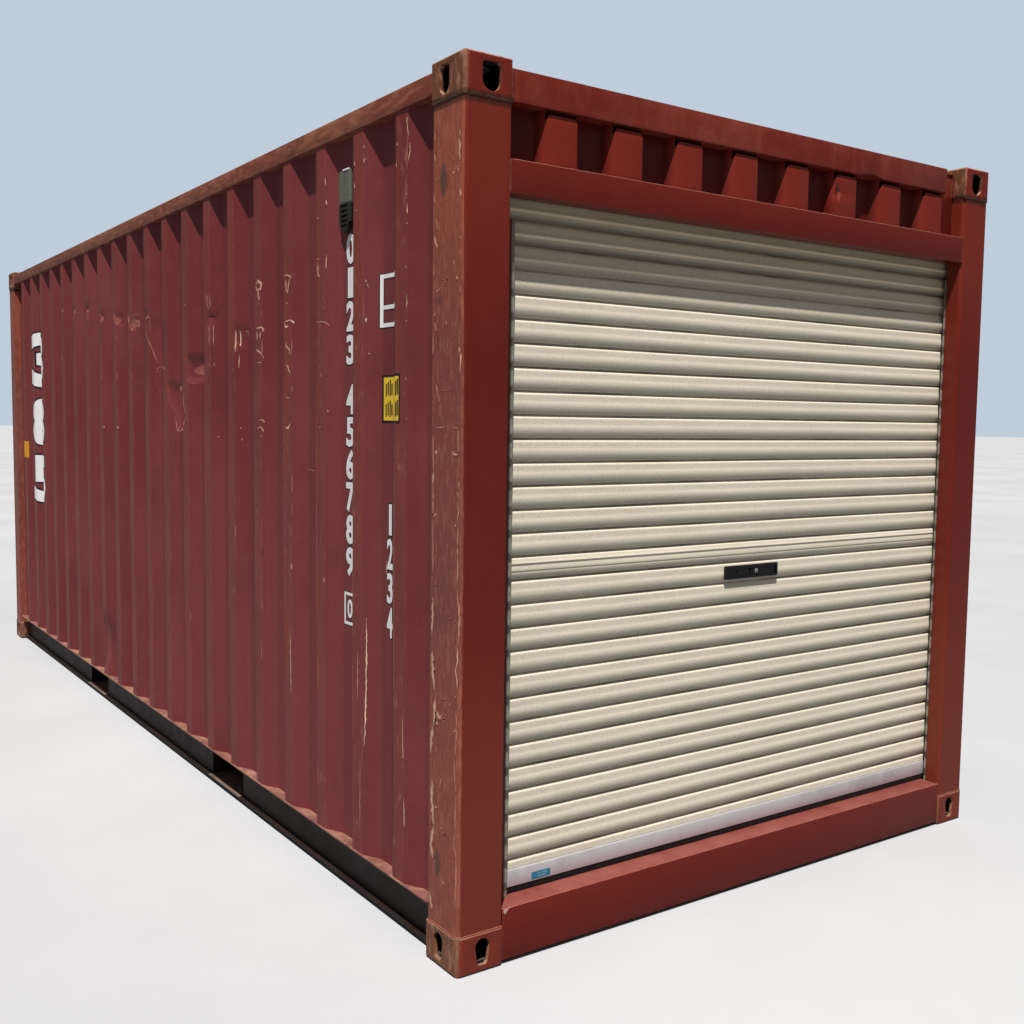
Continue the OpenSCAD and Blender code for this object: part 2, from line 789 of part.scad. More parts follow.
// Rubber between each door and the frame that it closes on
module door_gaskets() {
    near = leaf_gap / 2;
    lip = 24;
    color([0.05, 0.05, 0.05]) both_sides() at_rear() difference() {
        block([seat_x, -leaf_y - leaf_gap, sill_top], [leaf_x + lip, 0, leaf_top + leaf_gap]);
        block([leaf_x, -leaf_y, leaf_z], [leaf_face, -near, leaf_top]);
        block([seat_x - cut, -leaf_y + lip, leaf_z + lip], [leaf_x + cut, -near - lip, leaf_top - lip]);
    }
}

// Blade on the door with a knuckle that meets the post
module door_hinges() {
    n = 4;
    first = leaf_z + 140;
    step = (leaf_top - 140 - hinge_h - first) / (n - 1);
    pin_y = face_y - post_t - 12;
    color(paint) both_sides() at_rear() for (i = [0:n - 1]) translate([0, 0, first + i * step]) {
        block([leaf_face, -pin_y, 0], [leaf_face + 8, -leaf_y + leaf_frame - 10, hinge_h]);
        translate([leaf_face + 12, -pin_y, 0]) cylinder(r = 12, h = hinge_h);
        block([leaf_face + 6, -face_y + post_t, 10], [leaf_face + 18, -pin_y, hinge_h - 10]);
    }
}

bar_ys = [-bar_outer, -bar_inner, bar_inner, bar_outer];

// Round bars with a cam at each end and clamped to the doors
module locking_bars() {
    low = sill_gap + 66;
    high = rail_top - 40;
    clamps = [leaf_z + clamp_end, handle_z - clamp_reach, handle_z + clamp_reach, leaf_top - clamp_end - clamp_h];
    color([0.40, 0.34, 0.32]) at_rear() for (y = bar_ys) {
        translate([bar_x, y, low]) cylinder(r = bar_r, h = high - low);
        for (z = [low, high - 26])
            block([leaf_face + 2, y - bar_r, z], [bar_x, y + bar_r, z + 26]);
        for (z = clamps)
            block([leaf_face, y - 2 * bar_r, z], [bar_x, y + 2 * bar_r, z + clamp_h]);
    }
}

// Flat handles, each hinged to its bar and folded along the door
module locking_handles() {
    color([0.40, 0.34, 0.32]) at_rear() for (y = bar_ys) {
        outer = abs(y) > (bar_outer + bar_inner) / 2;
        way = (outer ? 1 : -1) * (y < 0 ? 1 : -1);
        hub = y + way * (bar_r + seat);
        tip = y + way * handle_l;
        clip = tip - way * 24;
        z = handle_z + (outer ? 60 : -60);
        block([bar_x - 5, min(tip, hub), z], [bar_x + 5, max(tip, hub), z + 32]);
        block([leaf_face, min(tip, clip), z - 10], [bar_x - 4, max(tip, clip), z + 42]);
    }
}

// Forked keepers for the cams, welded to the sill and the header
module bar_keepers() {
    low = sill_gap + 66;
    high = rail_top - 40;
    color([0.40, 0.34, 0.32]) at_rear() for (y = bar_ys, z = [low, high - 26], s = [-1, 1]) {
        near = y + s * (bar_r + seat);
        far = y + s * (bar_r + seat + keeper_t);
        block([leaf_face, min(near, far), z - 12], [bar_x + bar_r, max(near, far), z + 38]);
    }
}

// Moulded ventilator in a valley of the side wall, one near the front left and one near the rear right
module ventilators() {
    n = crests(2 * wall_end, side_pitch, side_crest, side_slope, side_shift);
    top = top_rail_z - vent_drop;
    valley = wall_y - side_depth;
    // Rounded foot, bevelled edges and five slits in the lower half
    module body(x) {
        foot = vent_w * 0.4;
        translate([x, -valley, 0]) difference() {
            intersection() {
                translate([0, 0, top - vent_h]) linear_extrude(vent_h) polygon([
                    [-side_pitch / 8, 0], [side_pitch / 8, 0], [vent_w / 2, -6], [vent_w / 2, 5 - vent_d],
                    [vent_w / 2 - 5, -vent_d], [5 - vent_w / 2, -vent_d], [-vent_w / 2, 5 - vent_d], [-vent_w / 2, -6]
                ]);
                rotate([90, 0, 0]) linear_extrude(vent_d) union() {
                    translate([-vent_w / 2, top - vent_h + foot]) square([vent_w, vent_h - foot]);
                    translate([0, top - vent_h + foot]) circle(r = foot);
                    translate([-vent_w / 2, top - vent_h + foot]) square([vent_w, foot]);
                }
            }
            for (i = [0:4])
                block([-vent_w * 0.3, -vent_d - cut, top - vent_h + 18 + i * 16],
                    [vent_w * 0.3, 9 - vent_d, top - vent_h + 25 + i * 16]);
        }
    }
    color([0.28, 0.29, 0.25]) {
        body(((n - 1) / 2 - 1.5) * side_pitch + side_shift);
        mirror([0, 1, 0]) body(-((n - 1) / 2 - 1.5) * side_pitch + side_shift);
    }
}

casting(false, false, false);  // casting_front_left_bottom
casting(false, true, false);  // casting_front_right_bottom
casting(false, false, true);  // casting_front_left_top
casting(false, true, true);  // casting_front_right_top
casting(true, false, false);  // casting_rear_left_bottom
casting(true, true, false);  // casting_rear_right_bottom
casting(true, false, true);  // casting_rear_left_top
casting(true, true, true);  // casting_rear_right_top
front_post(-1);  // post_front_left
front_post(1);  // post_front_right
rear_post(-1);  // post_rear_left
rear_post(1);  // post_rear_right
top_side_rail(-1);  // top_rail_left
top_side_rail(1);  // top_rail_right
bottom_side_rail(-1);  // bottom_rail_left
bottom_side_rail(1);  // bottom_rail_right
front_header();
rear_header();
front_sill();
rear_sill();
side_wall(-1);  // side_wall_left
side_wall(1);  // side_wall_right
end_wall_strip();
roof_panel();
floor_boards();
cross_members();
forklift_pocket(pocket_xs[1]);  // forklift_pocket_front
forklift_pocket(pocket_xs[0]);  // forklift_pocket_rear
door_lintel();
guide(-1);  // guide_left
guide(1);  // guide_right
roller_curtain();
curtain_roll();
roll_brackets();
bottom_bar();
bottom_seal();
curtain_lock();
cargo_door(-1);  // cargo_door_left
cargo_door(1);  // cargo_door_right
door_gaskets();
door_hinges();
locking_bars();
locking_handles();
bar_keepers();
ventilators();
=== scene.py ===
"""Finishes the shipping container: worn and fresh paint, dents, marks, weld beads and the small steel details."""
import math
import random

import bpy
from mathutils import Matrix, Vector, noise
from mathutils.bvhtree import BVHTree


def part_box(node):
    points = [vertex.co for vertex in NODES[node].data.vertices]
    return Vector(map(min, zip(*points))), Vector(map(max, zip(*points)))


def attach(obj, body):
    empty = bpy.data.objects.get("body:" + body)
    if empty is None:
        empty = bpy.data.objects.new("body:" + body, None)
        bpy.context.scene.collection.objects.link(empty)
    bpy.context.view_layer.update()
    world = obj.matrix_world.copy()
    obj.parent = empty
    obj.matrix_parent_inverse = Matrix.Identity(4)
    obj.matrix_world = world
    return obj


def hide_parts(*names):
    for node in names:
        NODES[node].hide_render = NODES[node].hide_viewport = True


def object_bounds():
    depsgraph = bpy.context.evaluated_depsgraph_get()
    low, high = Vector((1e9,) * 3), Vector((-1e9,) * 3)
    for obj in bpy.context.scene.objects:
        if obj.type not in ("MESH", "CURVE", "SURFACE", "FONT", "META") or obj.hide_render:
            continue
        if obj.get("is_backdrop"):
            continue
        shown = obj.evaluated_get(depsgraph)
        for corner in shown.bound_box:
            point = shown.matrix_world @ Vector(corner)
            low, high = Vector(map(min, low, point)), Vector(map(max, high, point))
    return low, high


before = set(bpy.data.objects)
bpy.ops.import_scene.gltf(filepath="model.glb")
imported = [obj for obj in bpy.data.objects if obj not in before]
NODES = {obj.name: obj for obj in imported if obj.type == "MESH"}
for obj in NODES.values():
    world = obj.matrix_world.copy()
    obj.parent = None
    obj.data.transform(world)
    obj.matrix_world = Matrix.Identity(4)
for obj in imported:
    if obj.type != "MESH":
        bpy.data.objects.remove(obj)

bl_info = {
    "name": "Shipping container finisher",
    "version": (1, 0, 0),
    "blender": (4, 5, 0),
    "location": "3D View > Sidebar > Container",
    "description": "Paint, dents, marks and steel details for a twenty foot container with a roller door",
    "category": "Object",
}

CAD_LOW, CAD_HIGH = (Vector(v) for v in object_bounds())
HALF_L = CAD_HIGH.x
HALF_W = CAD_HIGH.y
HEIGHT = CAD_HIGH.z
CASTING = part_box("casting_front_left_bottom")
CASTING_SIZE = CASTING[1] - CASTING[0]
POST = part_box("post_front_left")
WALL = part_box("side_wall_left")
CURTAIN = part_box("roller_curtain")
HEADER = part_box("front_header")
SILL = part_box("front_sill")
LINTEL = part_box("door_lintel")
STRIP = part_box("end_wall_strip")
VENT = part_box("ventilators")

# Folds of the side walls, in metres
WALL_PITCH = 0.278
WALL_CREST = 0.070
WALL_SLOPE = 0.068
WALL_DEPTH = 0.036
FIRST_CREST = -2.614
CRESTS = 20
SHEET = 0.002

# Posts: radius of their bends, how far the dressed post reaches back over the wall, and the width of their end faces
POST_BEND = 0.016
POST_REACH = 0.019
POST_FACE = 0.154
REAR_POST_FACE = 0.018

# Folds of the strip above the roller door
STRIP_CREST = -0.875
STRIP_PITCH = 0.250
STRIP_CREST_WIDTH = 0.095

# Grooves of the roller curtain: the lowest one, the steps below and above the lap seam, and the seam's slat
RIB_LOW = 0.272
RIB_STEP = 0.0710
RIB_STEP_HIGH = 0.0699
SEAM_SLAT = 13

# Flat marks and worn lines are drawn on this plane, before they are laid on the steel
BOARD_Y = -1.3


# Names, numbers and sizes that a user would change

class ContainerPaint(bpy.types.PropertyGroup):
    """Colours of the paints and bare materials"""
    fresh: bpy.props.FloatVectorProperty(
        name="Fresh paint", description="New satin paint on the roller door's end", subtype="COLOR",
        default=(0.165, 0.0165, 0.0100))
    wall: bpy.props.FloatVectorProperty(
        name="Wall paint", description="Old paint of the corrugated walls", subtype="COLOR",
        default=(0.185, 0.033, 0.036))
    faded: bpy.props.FloatVectorProperty(
        name="Faded paint", description="Chalky colour of the old paint where it has faded", subtype="COLOR",
        default=(0.265, 0.068, 0.072))
    rail: bpy.props.FloatVectorProperty(
        name="Rail paint", description="Weathered brown of the top rails", subtype="COLOR",
        default=(0.250, 0.062, 0.042))
    corner: bpy.props.FloatVectorProperty(
        name="Corner paint", description="Rusty brown of the corner castings", subtype="COLOR",
        default=(0.202, 0.070, 0.037))
    flank: bpy.props.FloatVectorProperty(
        name="Post paint", description="Worn brown of the posts' side faces", subtype="COLOR",
        default=(0.262, 0.070, 0.052))
    cream: bpy.props.FloatVectorProperty(
        name="Curtain paint", description="Cream satin paint of the roller curtain", subtype="COLOR",
        default=(0.760, 0.690, 0.560))
    primer: bpy.props.FloatVectorProperty(
        name="Primer", description="Pale pink primer that scratches lay bare", subtype="COLOR",
        default=(0.560, 0.300, 0.240))
    rust: bpy.props.FloatVectorProperty(
        name="Rust", description="Brown rust", subtype="COLOR", default=(0.150, 0.058, 0.030))


class ContainerWear(bpy.types.PropertyGroup):
    """Dents and wear"""
    dent_depth: bpy.props.FloatProperty(
        name="Dent depth", description="Depth of the deepest dent in the left wall",
        default=0.026, unit="LENGTH")
    buckle: bpy.props.FloatProperty(
        name="Buckle", description="How far the wall sheets wander from flat", default=0.0012, unit="LENGTH")
    fold_radius: bpy.props.FloatProperty(
        name="Fold radius", description="Reach of the rounding along each fold of the wall",
        default=0.006, unit="LENGTH")
    wall_fading: bpy.props.FloatProperty(
        name="Wall fading", description="How far the wall's paint has faded", default=0.45, subtype="FACTOR")


class ContainerStage(bpy.types.PropertyGroup):
    """Camera, lamps and floor"""
    lens: bpy.props.FloatProperty(
        name="Lens", description="Focal length in millimetres on a 36 mm sensor", default=39.265)
    sun_height: bpy.props.FloatProperty(
        name="Key height", description="Elevation of the key lamp",
        default=math.radians(65.4), subtype="ANGLE")
    sun_turn: bpy.props.FloatProperty(
        name="Key turn", description="Azimuth of the key lamp from +X towards -Y",
        default=math.radians(41.3), subtype="ANGLE")
    sun_power: bpy.props.FloatProperty(name="Key power", description="Strength of the key lamp", default=4.3)
    fill_power: bpy.props.FloatProperty(name="Fill power", description="Strength of the studio fill", default=0.13)
    floor_glow: bpy.props.FloatProperty(
        name="Floor glow", description="Share of its light that the floor throws back on the container", default=0.33,
        subtype="FACTOR")


def paint_box():
    """The colours that the user has set"""
    return bpy.context.scene.container_paint


def wear_box():
    """The dents and wear that the user has set"""
    return bpy.context.scene.container_wear


# Node wiring

def shade(code):
    """Linear colour of a chip given as #rrggbb"""
    parts = [int(code[i:i + 2], 16) / 255 for i in (1, 3, 5)]
    return tuple(p / 12.92 if p <= 0.04045 else ((p + 0.055) / 1.055) ** 2.4 for p in parts) + (1.0,)


def opaque(colour):
    return tuple(colour)[:3] + (1.0,)


class Wiring:
    """Adds nodes to one node tree and links them"""

    def __init__(self, tree):
        self.tree = tree

    def feed(self, socket, value):
        """Links a socket to another one, or sets it to a value"""
        if isinstance(value, bpy.types.NodeSocket):
            self.tree.links.new(value, socket)
        elif value is not None:
            socket.default_value = value

    def add(self, kind, feeds=None, **settings):
        node = self.tree.nodes.new(kind)
        for name, value in settings.items():
            setattr(node, name, value)
        for key, value in (feeds or {}).items():
            self.feed(node.inputs[key], value)
        return node

    def calc(self, operation, *values, clamp=False):
        return self.add("ShaderNodeMath", dict(enumerate(values)), operation=operation, use_clamp=clamp).outputs[0]

    def chain(self, operation, values, clamp):
        """Runs one operation through two or more values"""
        total = values[0]
        for value in values[1:-1]:
            total = self.calc(operation, total, value)
        return self.calc(operation, total, values[-1], clamp=clamp)

    def times(self, *values, clamp=False):
        return self.chain("MULTIPLY", values, clamp)

    def plus(self, *values, clamp=False):
        return self.chain("ADD", values, clamp)

    def less(self, *values, clamp=False):
        return self.chain("SUBTRACT", values, clamp)

    def size(self, value):
        return self.calc("ABSOLUTE", value)

    def vector(self, operation, *values):
        return self.add("ShaderNodeVectorMath", dict(enumerate(values)), operation=operation).outputs[0]

    def split(self, value):
        return self.add("ShaderNodeSeparateXYZ", {0: value}).outputs

    def attribute(self, name):
        return self.add("ShaderNodeAttribute", attribute_name=name).outputs["Fac"]

    def noise(self, position, scale, detail=3.0, rough=0.5, stretch=None):
        """Cloudy value from 0 to 1, drawn out where stretch differs between the axes"""
        if stretch:
            position = self.add("ShaderNodeMapping", {"Vector": position, "Scale": stretch}).outputs[0]
        return self.add("ShaderNodeTexNoise", {
            "Vector": position, "Scale": scale, "Detail": detail, "Roughness": rough}).outputs[0]

    def rise(self, value, low, high, start=0.0, end=1.0):
        """Goes smoothly from start to end as the value goes from low to high"""
        return self.add("ShaderNodeMapRange", {
            "Value": value, "From Min": low, "From Max": high, "To Min": start, "To Max": end},
            interpolation_type="SMOOTHSTEP").outputs[0]

    def mix(self, amount, first, second, mode="MIX"):
        """Colour part of the way from one colour to another"""
        node = self.add("ShaderNodeMix", data_type="RGBA", blend_type=mode)
        self.feed(node.inputs[0], amount)
        self.feed(node.inputs[6], first)
        self.feed(node.inputs[7], second)
        return node.outputs[2]

    def between(self, amount, first, second):
        """Plain value part of the way from one value to another"""
        return self.add("ShaderNodeMix", {0: amount, 2: first, 3: second}, data_type="FLOAT").outputs[0]

    def ramp(self, value, stops):
        """Colour for a value between stops of place and chip"""
        node = self.add("ShaderNodeValToRGB", {"Fac": value})
        marks = node.color_ramp.elements
        for i, (place, chip) in enumerate(stops):
            mark = marks[i] if i < 2 else marks.new(place)
            mark.position, mark.color = place, shade(chip)
        return node.outputs[0]

    def use(self, name, **feeds):
        """Places a group and returns its outputs by name"""
        node = self.add("ShaderNodeGroup", node_tree=bpy.data.node_groups[name])
        for key, value in feeds.items():
            self.feed(node.inputs[key.replace("_", " ")], value)
        return node.outputs


def effect(name, takes, gives):
    """Starts a node group with named inputs and outputs"""
    tree = bpy.data.node_groups.new(name, "ShaderNodeTree")
    for title, kind, value in takes:
        socket = tree.interface.new_socket(title, in_out="INPUT", socket_type="NodeSocket" + kind)
        if value is not None:
            socket.default_value = value
    for title, kind in gives:
        tree.interface.new_socket(title, in_out="OUTPUT", socket_type="NodeSocket" + kind)
    wires = Wiring(tree)
    given = wires.add("NodeGroupInput").outputs
    result = wires.add("NodeGroupOutput").inputs
    return wires, given, result


def make_effects():
    """Builds the groups that several finishes share"""
    grey = (0.5, 0.5, 0.5, 1.0)

    w, given, result = effect(
        "Weathered Paint",
        [("Position", "Vector", None), ("Paint", "Color", grey), ("Faded", "Color", grey),
         ("Fading", "Float", 0.5), ("Streaks", "Float", 0.3), ("Grime", "Float", 0.3)],
        [("Color", "Color"), ("Roughness", "Float"), ("Height", "Float")])
    clouds = w.noise(given["Position"], 0.8, 4, 0.6)
    mottle = w.noise(given["Position"], 11.0, 4, 0.6)
    streak = w.noise(given["Position"], 1.0, 4, 0.6, (16.0, 16.0, 0.9))
    fine = w.noise(given["Position"], 160.0, 2, 0.5)
    worn = w.plus(w.times(w.rise(clouds, 0.35, 0.68), given["Fading"]),
                  w.times(w.rise(mottle, 0.45, 0.75), given["Fading"], 0.35),
                  w.times(w.rise(streak, 0.5, 0.78), given["Streaks"]), clamp=True)
    colour = w.mix(worn, given["Paint"], given["Faded"])
    shadow = w.times(w.rise(w.noise(given["Position"], 2.6, 5, 0.65), 0.52, 0.78), given["Grime"])
    colour = w.mix(shadow, colour, w.mix(1.0, colour, (0.42, 0.40, 0.40, 1.0), "MULTIPLY"))
    speck = w.rise(fine, 0.2, 0.8, 0.90, 1.08)
    colour = w.vector("SCALE", colour)
    w.feed(colour.node.inputs["Scale"], speck)
    w.feed(result["Color"], colour)
    w.feed(result["Roughness"], w.plus(w.rise(worn, 0.0, 1.0, 0.40, 0.62), w.rise(mottle, 0.2, 0.8, -0.05, 0.07)))
    w.feed(result["Height"], w.plus(w.times(mottle, 0.6), w.times(fine, 0.25)))

    w, given, result = effect(
        "Box Depth",
        [("Position", "Vector", None), ("Middle", "Vector", None), ("Half Size", "Vector", None)],
        [("Depth", "Float")])
    gap = w.vector("ABSOLUTE", w.vector("SUBTRACT", given["Position"], given["Middle"]))
    a, b, c = w.split(w.vector("SUBTRACT", given["Half Size"], gap))
    w.feed(result["Depth"], w.calc("MINIMUM", w.calc("MINIMUM", a, b), c))

    w, given, result = effect(
        "Fold Lines",
        [("Across", "Float", 0.0), ("Crest Middle", "Float", 0.0), ("Pitch", "Float", WALL_PITCH),
         ("Half Crest", "Float", WALL_CREST / 2), ("Reach", "Float", 0.004)],
        [("Crest Edge", "Float"), ("Crest", "Float")])
    way = w.calc("PINGPONG", w.less(given["Across"], given["Crest Middle"]), w.times(given["Pitch"], 0.5))
    gap = w.size(w.less(way, given["Half Crest"]))
    w.feed(result["Crest Edge"], w.less(1.0, w.calc("DIVIDE", gap, given["Reach"]), clamp=True))
    w.feed(result["Crest"], w.calc("LESS_THAN", way, given["Half Crest"]))

    w, given, result = effect(
        "Rust Bloom",
        [("Position", "Vector", None), ("Cover", "Float", 0.3), ("Rust", "Color", grey)],
        [("Mask", "Float"), ("Color", "Color"), ("Height", "Float")])
    broad = w.noise(given["Position"], 5.0, 6, 0.68)
    spots = w.noise(given["Position"], 38.0, 5, 0.6)
    level = w.plus(w.times(broad, 0.6), w.times(spots, 0.4))
    start = w.less(0.72, w.times(given["Cover"], 0.36))
    mask = w.times(w.less(level, start), 14.0, clamp=True)
    w.feed(result["Mask"], mask)
    w.feed(result["Color"], w.mix(w.rise(spots, 0.35, 0.7), given["Rust"],
                                  w.mix(1.0, given["Rust"], (2.1, 1.9, 1.7, 1.0), "MULTIPLY")))
    w.feed(result["Height"], w.times(mask, w.rise(spots, 0.2, 0.8, 0.4, 1.0)))

    w, given, result = effect(
        "Scratch Lines",
        [("Position", "Vector", None), ("Stretch", "Vector", (1.0, 1.0, 1.0)), ("Amount", "Float", 0.3)],
        [("Mask", "Float")])
    lines = w.noise(w.vector("MULTIPLY", given["Position"], given["Stretch"]), 1.0, 5, 0.72)
    broken = w.noise(given["Position"], 9.0, 4, 0.7)
    start = w.less(0.80, w.times(given["Amount"], 0.30))
    mask = w.times(w.less(lines, start), 22.0, clamp=True)
    w.feed(result["Mask"], w.times(mask, w.rise(broken, 0.42, 0.60)))

    w, given, result = effect(
        "Settled Dust",
        [("Position", "Vector", None), ("Facing", "Vector", None), ("Amount", "Float", 0.3)],
        [("Mask", "Float")])
    up = w.rise(w.split(given["Facing"])[2], 0.35, 0.95)
    cover = w.rise(w.noise(given["Position"], 6.0, 5, 0.65), 0.25, 0.7, 0.45, 1.0)
    w.feed(result["Mask"], w.times(up, cover, given["Amount"], clamp=True))


class Finish(Wiring):
    """One material: its shader, object position and facing"""

    def __init__(self, name):
        self.material = bpy.data.materials.new(name)
        self.material.use_nodes = True
        super().__init__(self.material.node_tree)
        self.tree.nodes.clear()
        self.shader = self.add("ShaderNodeBsdfPrincipled")
        out = self.add("ShaderNodeOutputMaterial")
        self.tree.links.new(self.shader.outputs[0], out.inputs["Surface"])
        self.position = self.add("ShaderNodeTexCoord").outputs["Object"]
        self.x, self.y, self.z = self.split(self.position)
        self.facing = self.add("ShaderNodeNewGeometry").outputs["Normal"]

    def patches(self, scale, low, high, start=0.0, end=1.0):
        """Ragged patches over the surface"""
        return self.rise(self.noise(self.position, scale, 5, 0.7), low, high, start, end)

    def finish(self, colour, roughness, height, strength, distance, **constants):
        """Feeds the shader and returns the material"""
        self.feed(self.shader.inputs["Base Color"], colour)
        self.feed(self.shader.inputs["Roughness"], roughness)
        for key, value in constants.items():
            self.feed(self.shader.inputs[key.replace("_", " ")], value)
        bump = self.add("ShaderNodeBump", {"Height": height, "Strength": strength, "Distance": distance})
        self.feed(self.shader.inputs["Normal"], bump.outputs[0])
        return self.material


# Tones of worn lines, from soot over primer to bright scrapes
STROKE_TONES = ((0.0, "#2a1614"), (0.25, "#6a4a42"), (0.5, "#b06c60"), (0.75, "#d89a86"), (1.0, "#ffdcbc"))


def wear_and_highlight_folds(f, colour, folds, tint, bare, peeled):
    """Wears a folded sheet along its crests and their edges, and lightens each crest edge with a line that is partly
    a painted highlight
    """
    axis, middle, pitch, half_crest, reach, amount = folds
    lines = f.use("Fold Lines", Across=(f.x, f.y, f.z)[axis], Crest_Middle=middle, Pitch=pitch,
                  Half_Crest=half_crest, Reach=reach)
    edge, crest = lines["Crest Edge"], lines["Crest"]
    along = f.noise(f.position, 1.0, 5, 0.7, (30.0, 30.0, 7.0))
    chips = f.noise(f.position, 60.0, 4, 0.7)
    rubbed = f.times(edge, f.rise(along, 0.56, 0.68), f.rise(chips, 0.36, 0.58), clamp=True)
    colour = f.mix(f.times(rubbed, 0.7 * amount), colour, bare)
    chalk = f.times(crest, f.rise(f.noise(f.position, 1.0, 5, 0.65, (9.0, 9.0, 2.2)), 0.25, 0.65))
    colour = f.mix(f.times(chalk, 0.65 * amount), colour, tint)
    # A light line along every crest edge: partly worn paint, partly a painted highlight on the fold
    colour = f.mix(f.times(edge, 0.30 * amount), colour, tint)
    if peeled:
        peel = f.rise(f.noise(f.position, 1.0, 6, 0.75, (34.0, 34.0, 13.0)), 0.55, 0.64)
        peel = f.times(peel, f.rise(f.noise(f.position, 2.2, 3), 0.42, 0.58), crest, f.rise(f.x, 0.6, 2.0, 0.2, 0.8))
        colour = f.mix(peel, colour, shade("#a8665c"))
    return colour


def paint_over(f, coat, fresh, deep):
    """Lays the new paint over faces that look towards the roller door, and returns colour, roughness and height"""
    colour, rough, height = coat
    start, full, lift, within = fresh
    paint = paint_box().fresh
    new = f.use("Weathered Paint", Position=f.position, Paint=opaque(paint), Faded=opaque([c * 1.25 for c in paint]),
                Fading=0.35, Streaks=0.15, Grime=0.22)
    ragged = f.times(f.less(f.noise(f.position, 18.0, 4, 0.7), 0.5), 0.25)
    front = f.rise(f.plus(f.split(f.facing)[0], f.rise(f.z, 1.2, 2.4, 0.0, lift), ragged), start, full)
    if within:
        inner = f.rise(f.size(f.y), HALF_W - 0.034, HALF_W - 0.024, 1.0, 0.0)
        front = f.calc("MAXIMUM", front, inner)
    else:
        front = f.times(front, f.rise(f.x, HALF_L - 0.034, HALF_L - 0.022))
    over = new["Color"]
    # The fresh coat is lighter towards the top and towards the foot
    for low, high, tint in deep:
        over = f.mix(f.rise(f.z, low, high), over, f.mix(1.0, over, tint, "MULTIPLY"))
    return (f.mix(front, colour, over), f.between(front, rough, f.less(new["Roughness"], 0.04)),
            f.between(front, height, f.times(new["Height"], 0.45)))


def lighten_edges(f, colour, rims):
    """Lightens the rounded edges, by one share near the ground and another at the top: worn paint, and on the fresh
    front pieces also a painted highlight
    """
    low, high, tint = rims
    x, y, z = f.split(f.vector("ABSOLUTE", f.facing))
    edge = f.rise(f.calc("MAXIMUM", f.calc("MAXIMUM", x, y), z), 0.80, 0.965, 1.0, 0.0)
    edge = f.times(edge, f.rise(f.noise(f.position, 42.0, 5, 0.72), 0.34, 0.56),
                   f.rise(f.z, 0.1, HEIGHT - 0.12, low, high), f.rise(z, 0.08, 0.28, 0.35, 1.0))
    return f.mix(edge, colour, tint)


def show_strokes(f, colour):
    """Draws the worn lines that a piece carries as strength and tone at its points"""
    core = f.attribute("core")
    ragged = f.times(f.noise(f.position, 90.0, 5, 0.75), 1.5)
    mask = f.times(f.less(f.times(core, 2.6), ragged), 4.0, clamp=True)
    mask = f.times(mask, f.plus(f.times(core, 1.1), 0.05), clamp=True)
    return f.mix(mask, colour, f.ramp(f.attribute("tone"), STROKE_TONES))


def shade_castings(f, colour):
    """Paints shade inside the castings, nearly black, and painted shade, olive-brown, along the foot of the top ones
    """
    place = f.vector("ABSOLUTE", f.vector("SUBTRACT", f.position, (0.0, 0.0, HEIGHT / 2)))
    half = CASTING_SIZE / 2
    inside = f.use("Box Depth", Position=place, Half_Size=tuple(half),
                   Middle=(HALF_L - half.x, HALF_W - half.y, HEIGHT / 2 - half.z))["Depth"]
    colour = f.mix(f.rise(inside, 0.008, 0.014), colour, (0.003, 0.0025, 0.002, 1.0))
    foot = f.rise(f.less(f.z, HEIGHT - CASTING_SIZE.z), 0.010, 0.018, 1.0, 0.0)
    foot = f.times(foot, f.rise(f.z, HEIGHT / 2, HEIGHT / 2 + 0.1), 0.55)
    return f.mix(foot, colour, shade("#3a2618"))


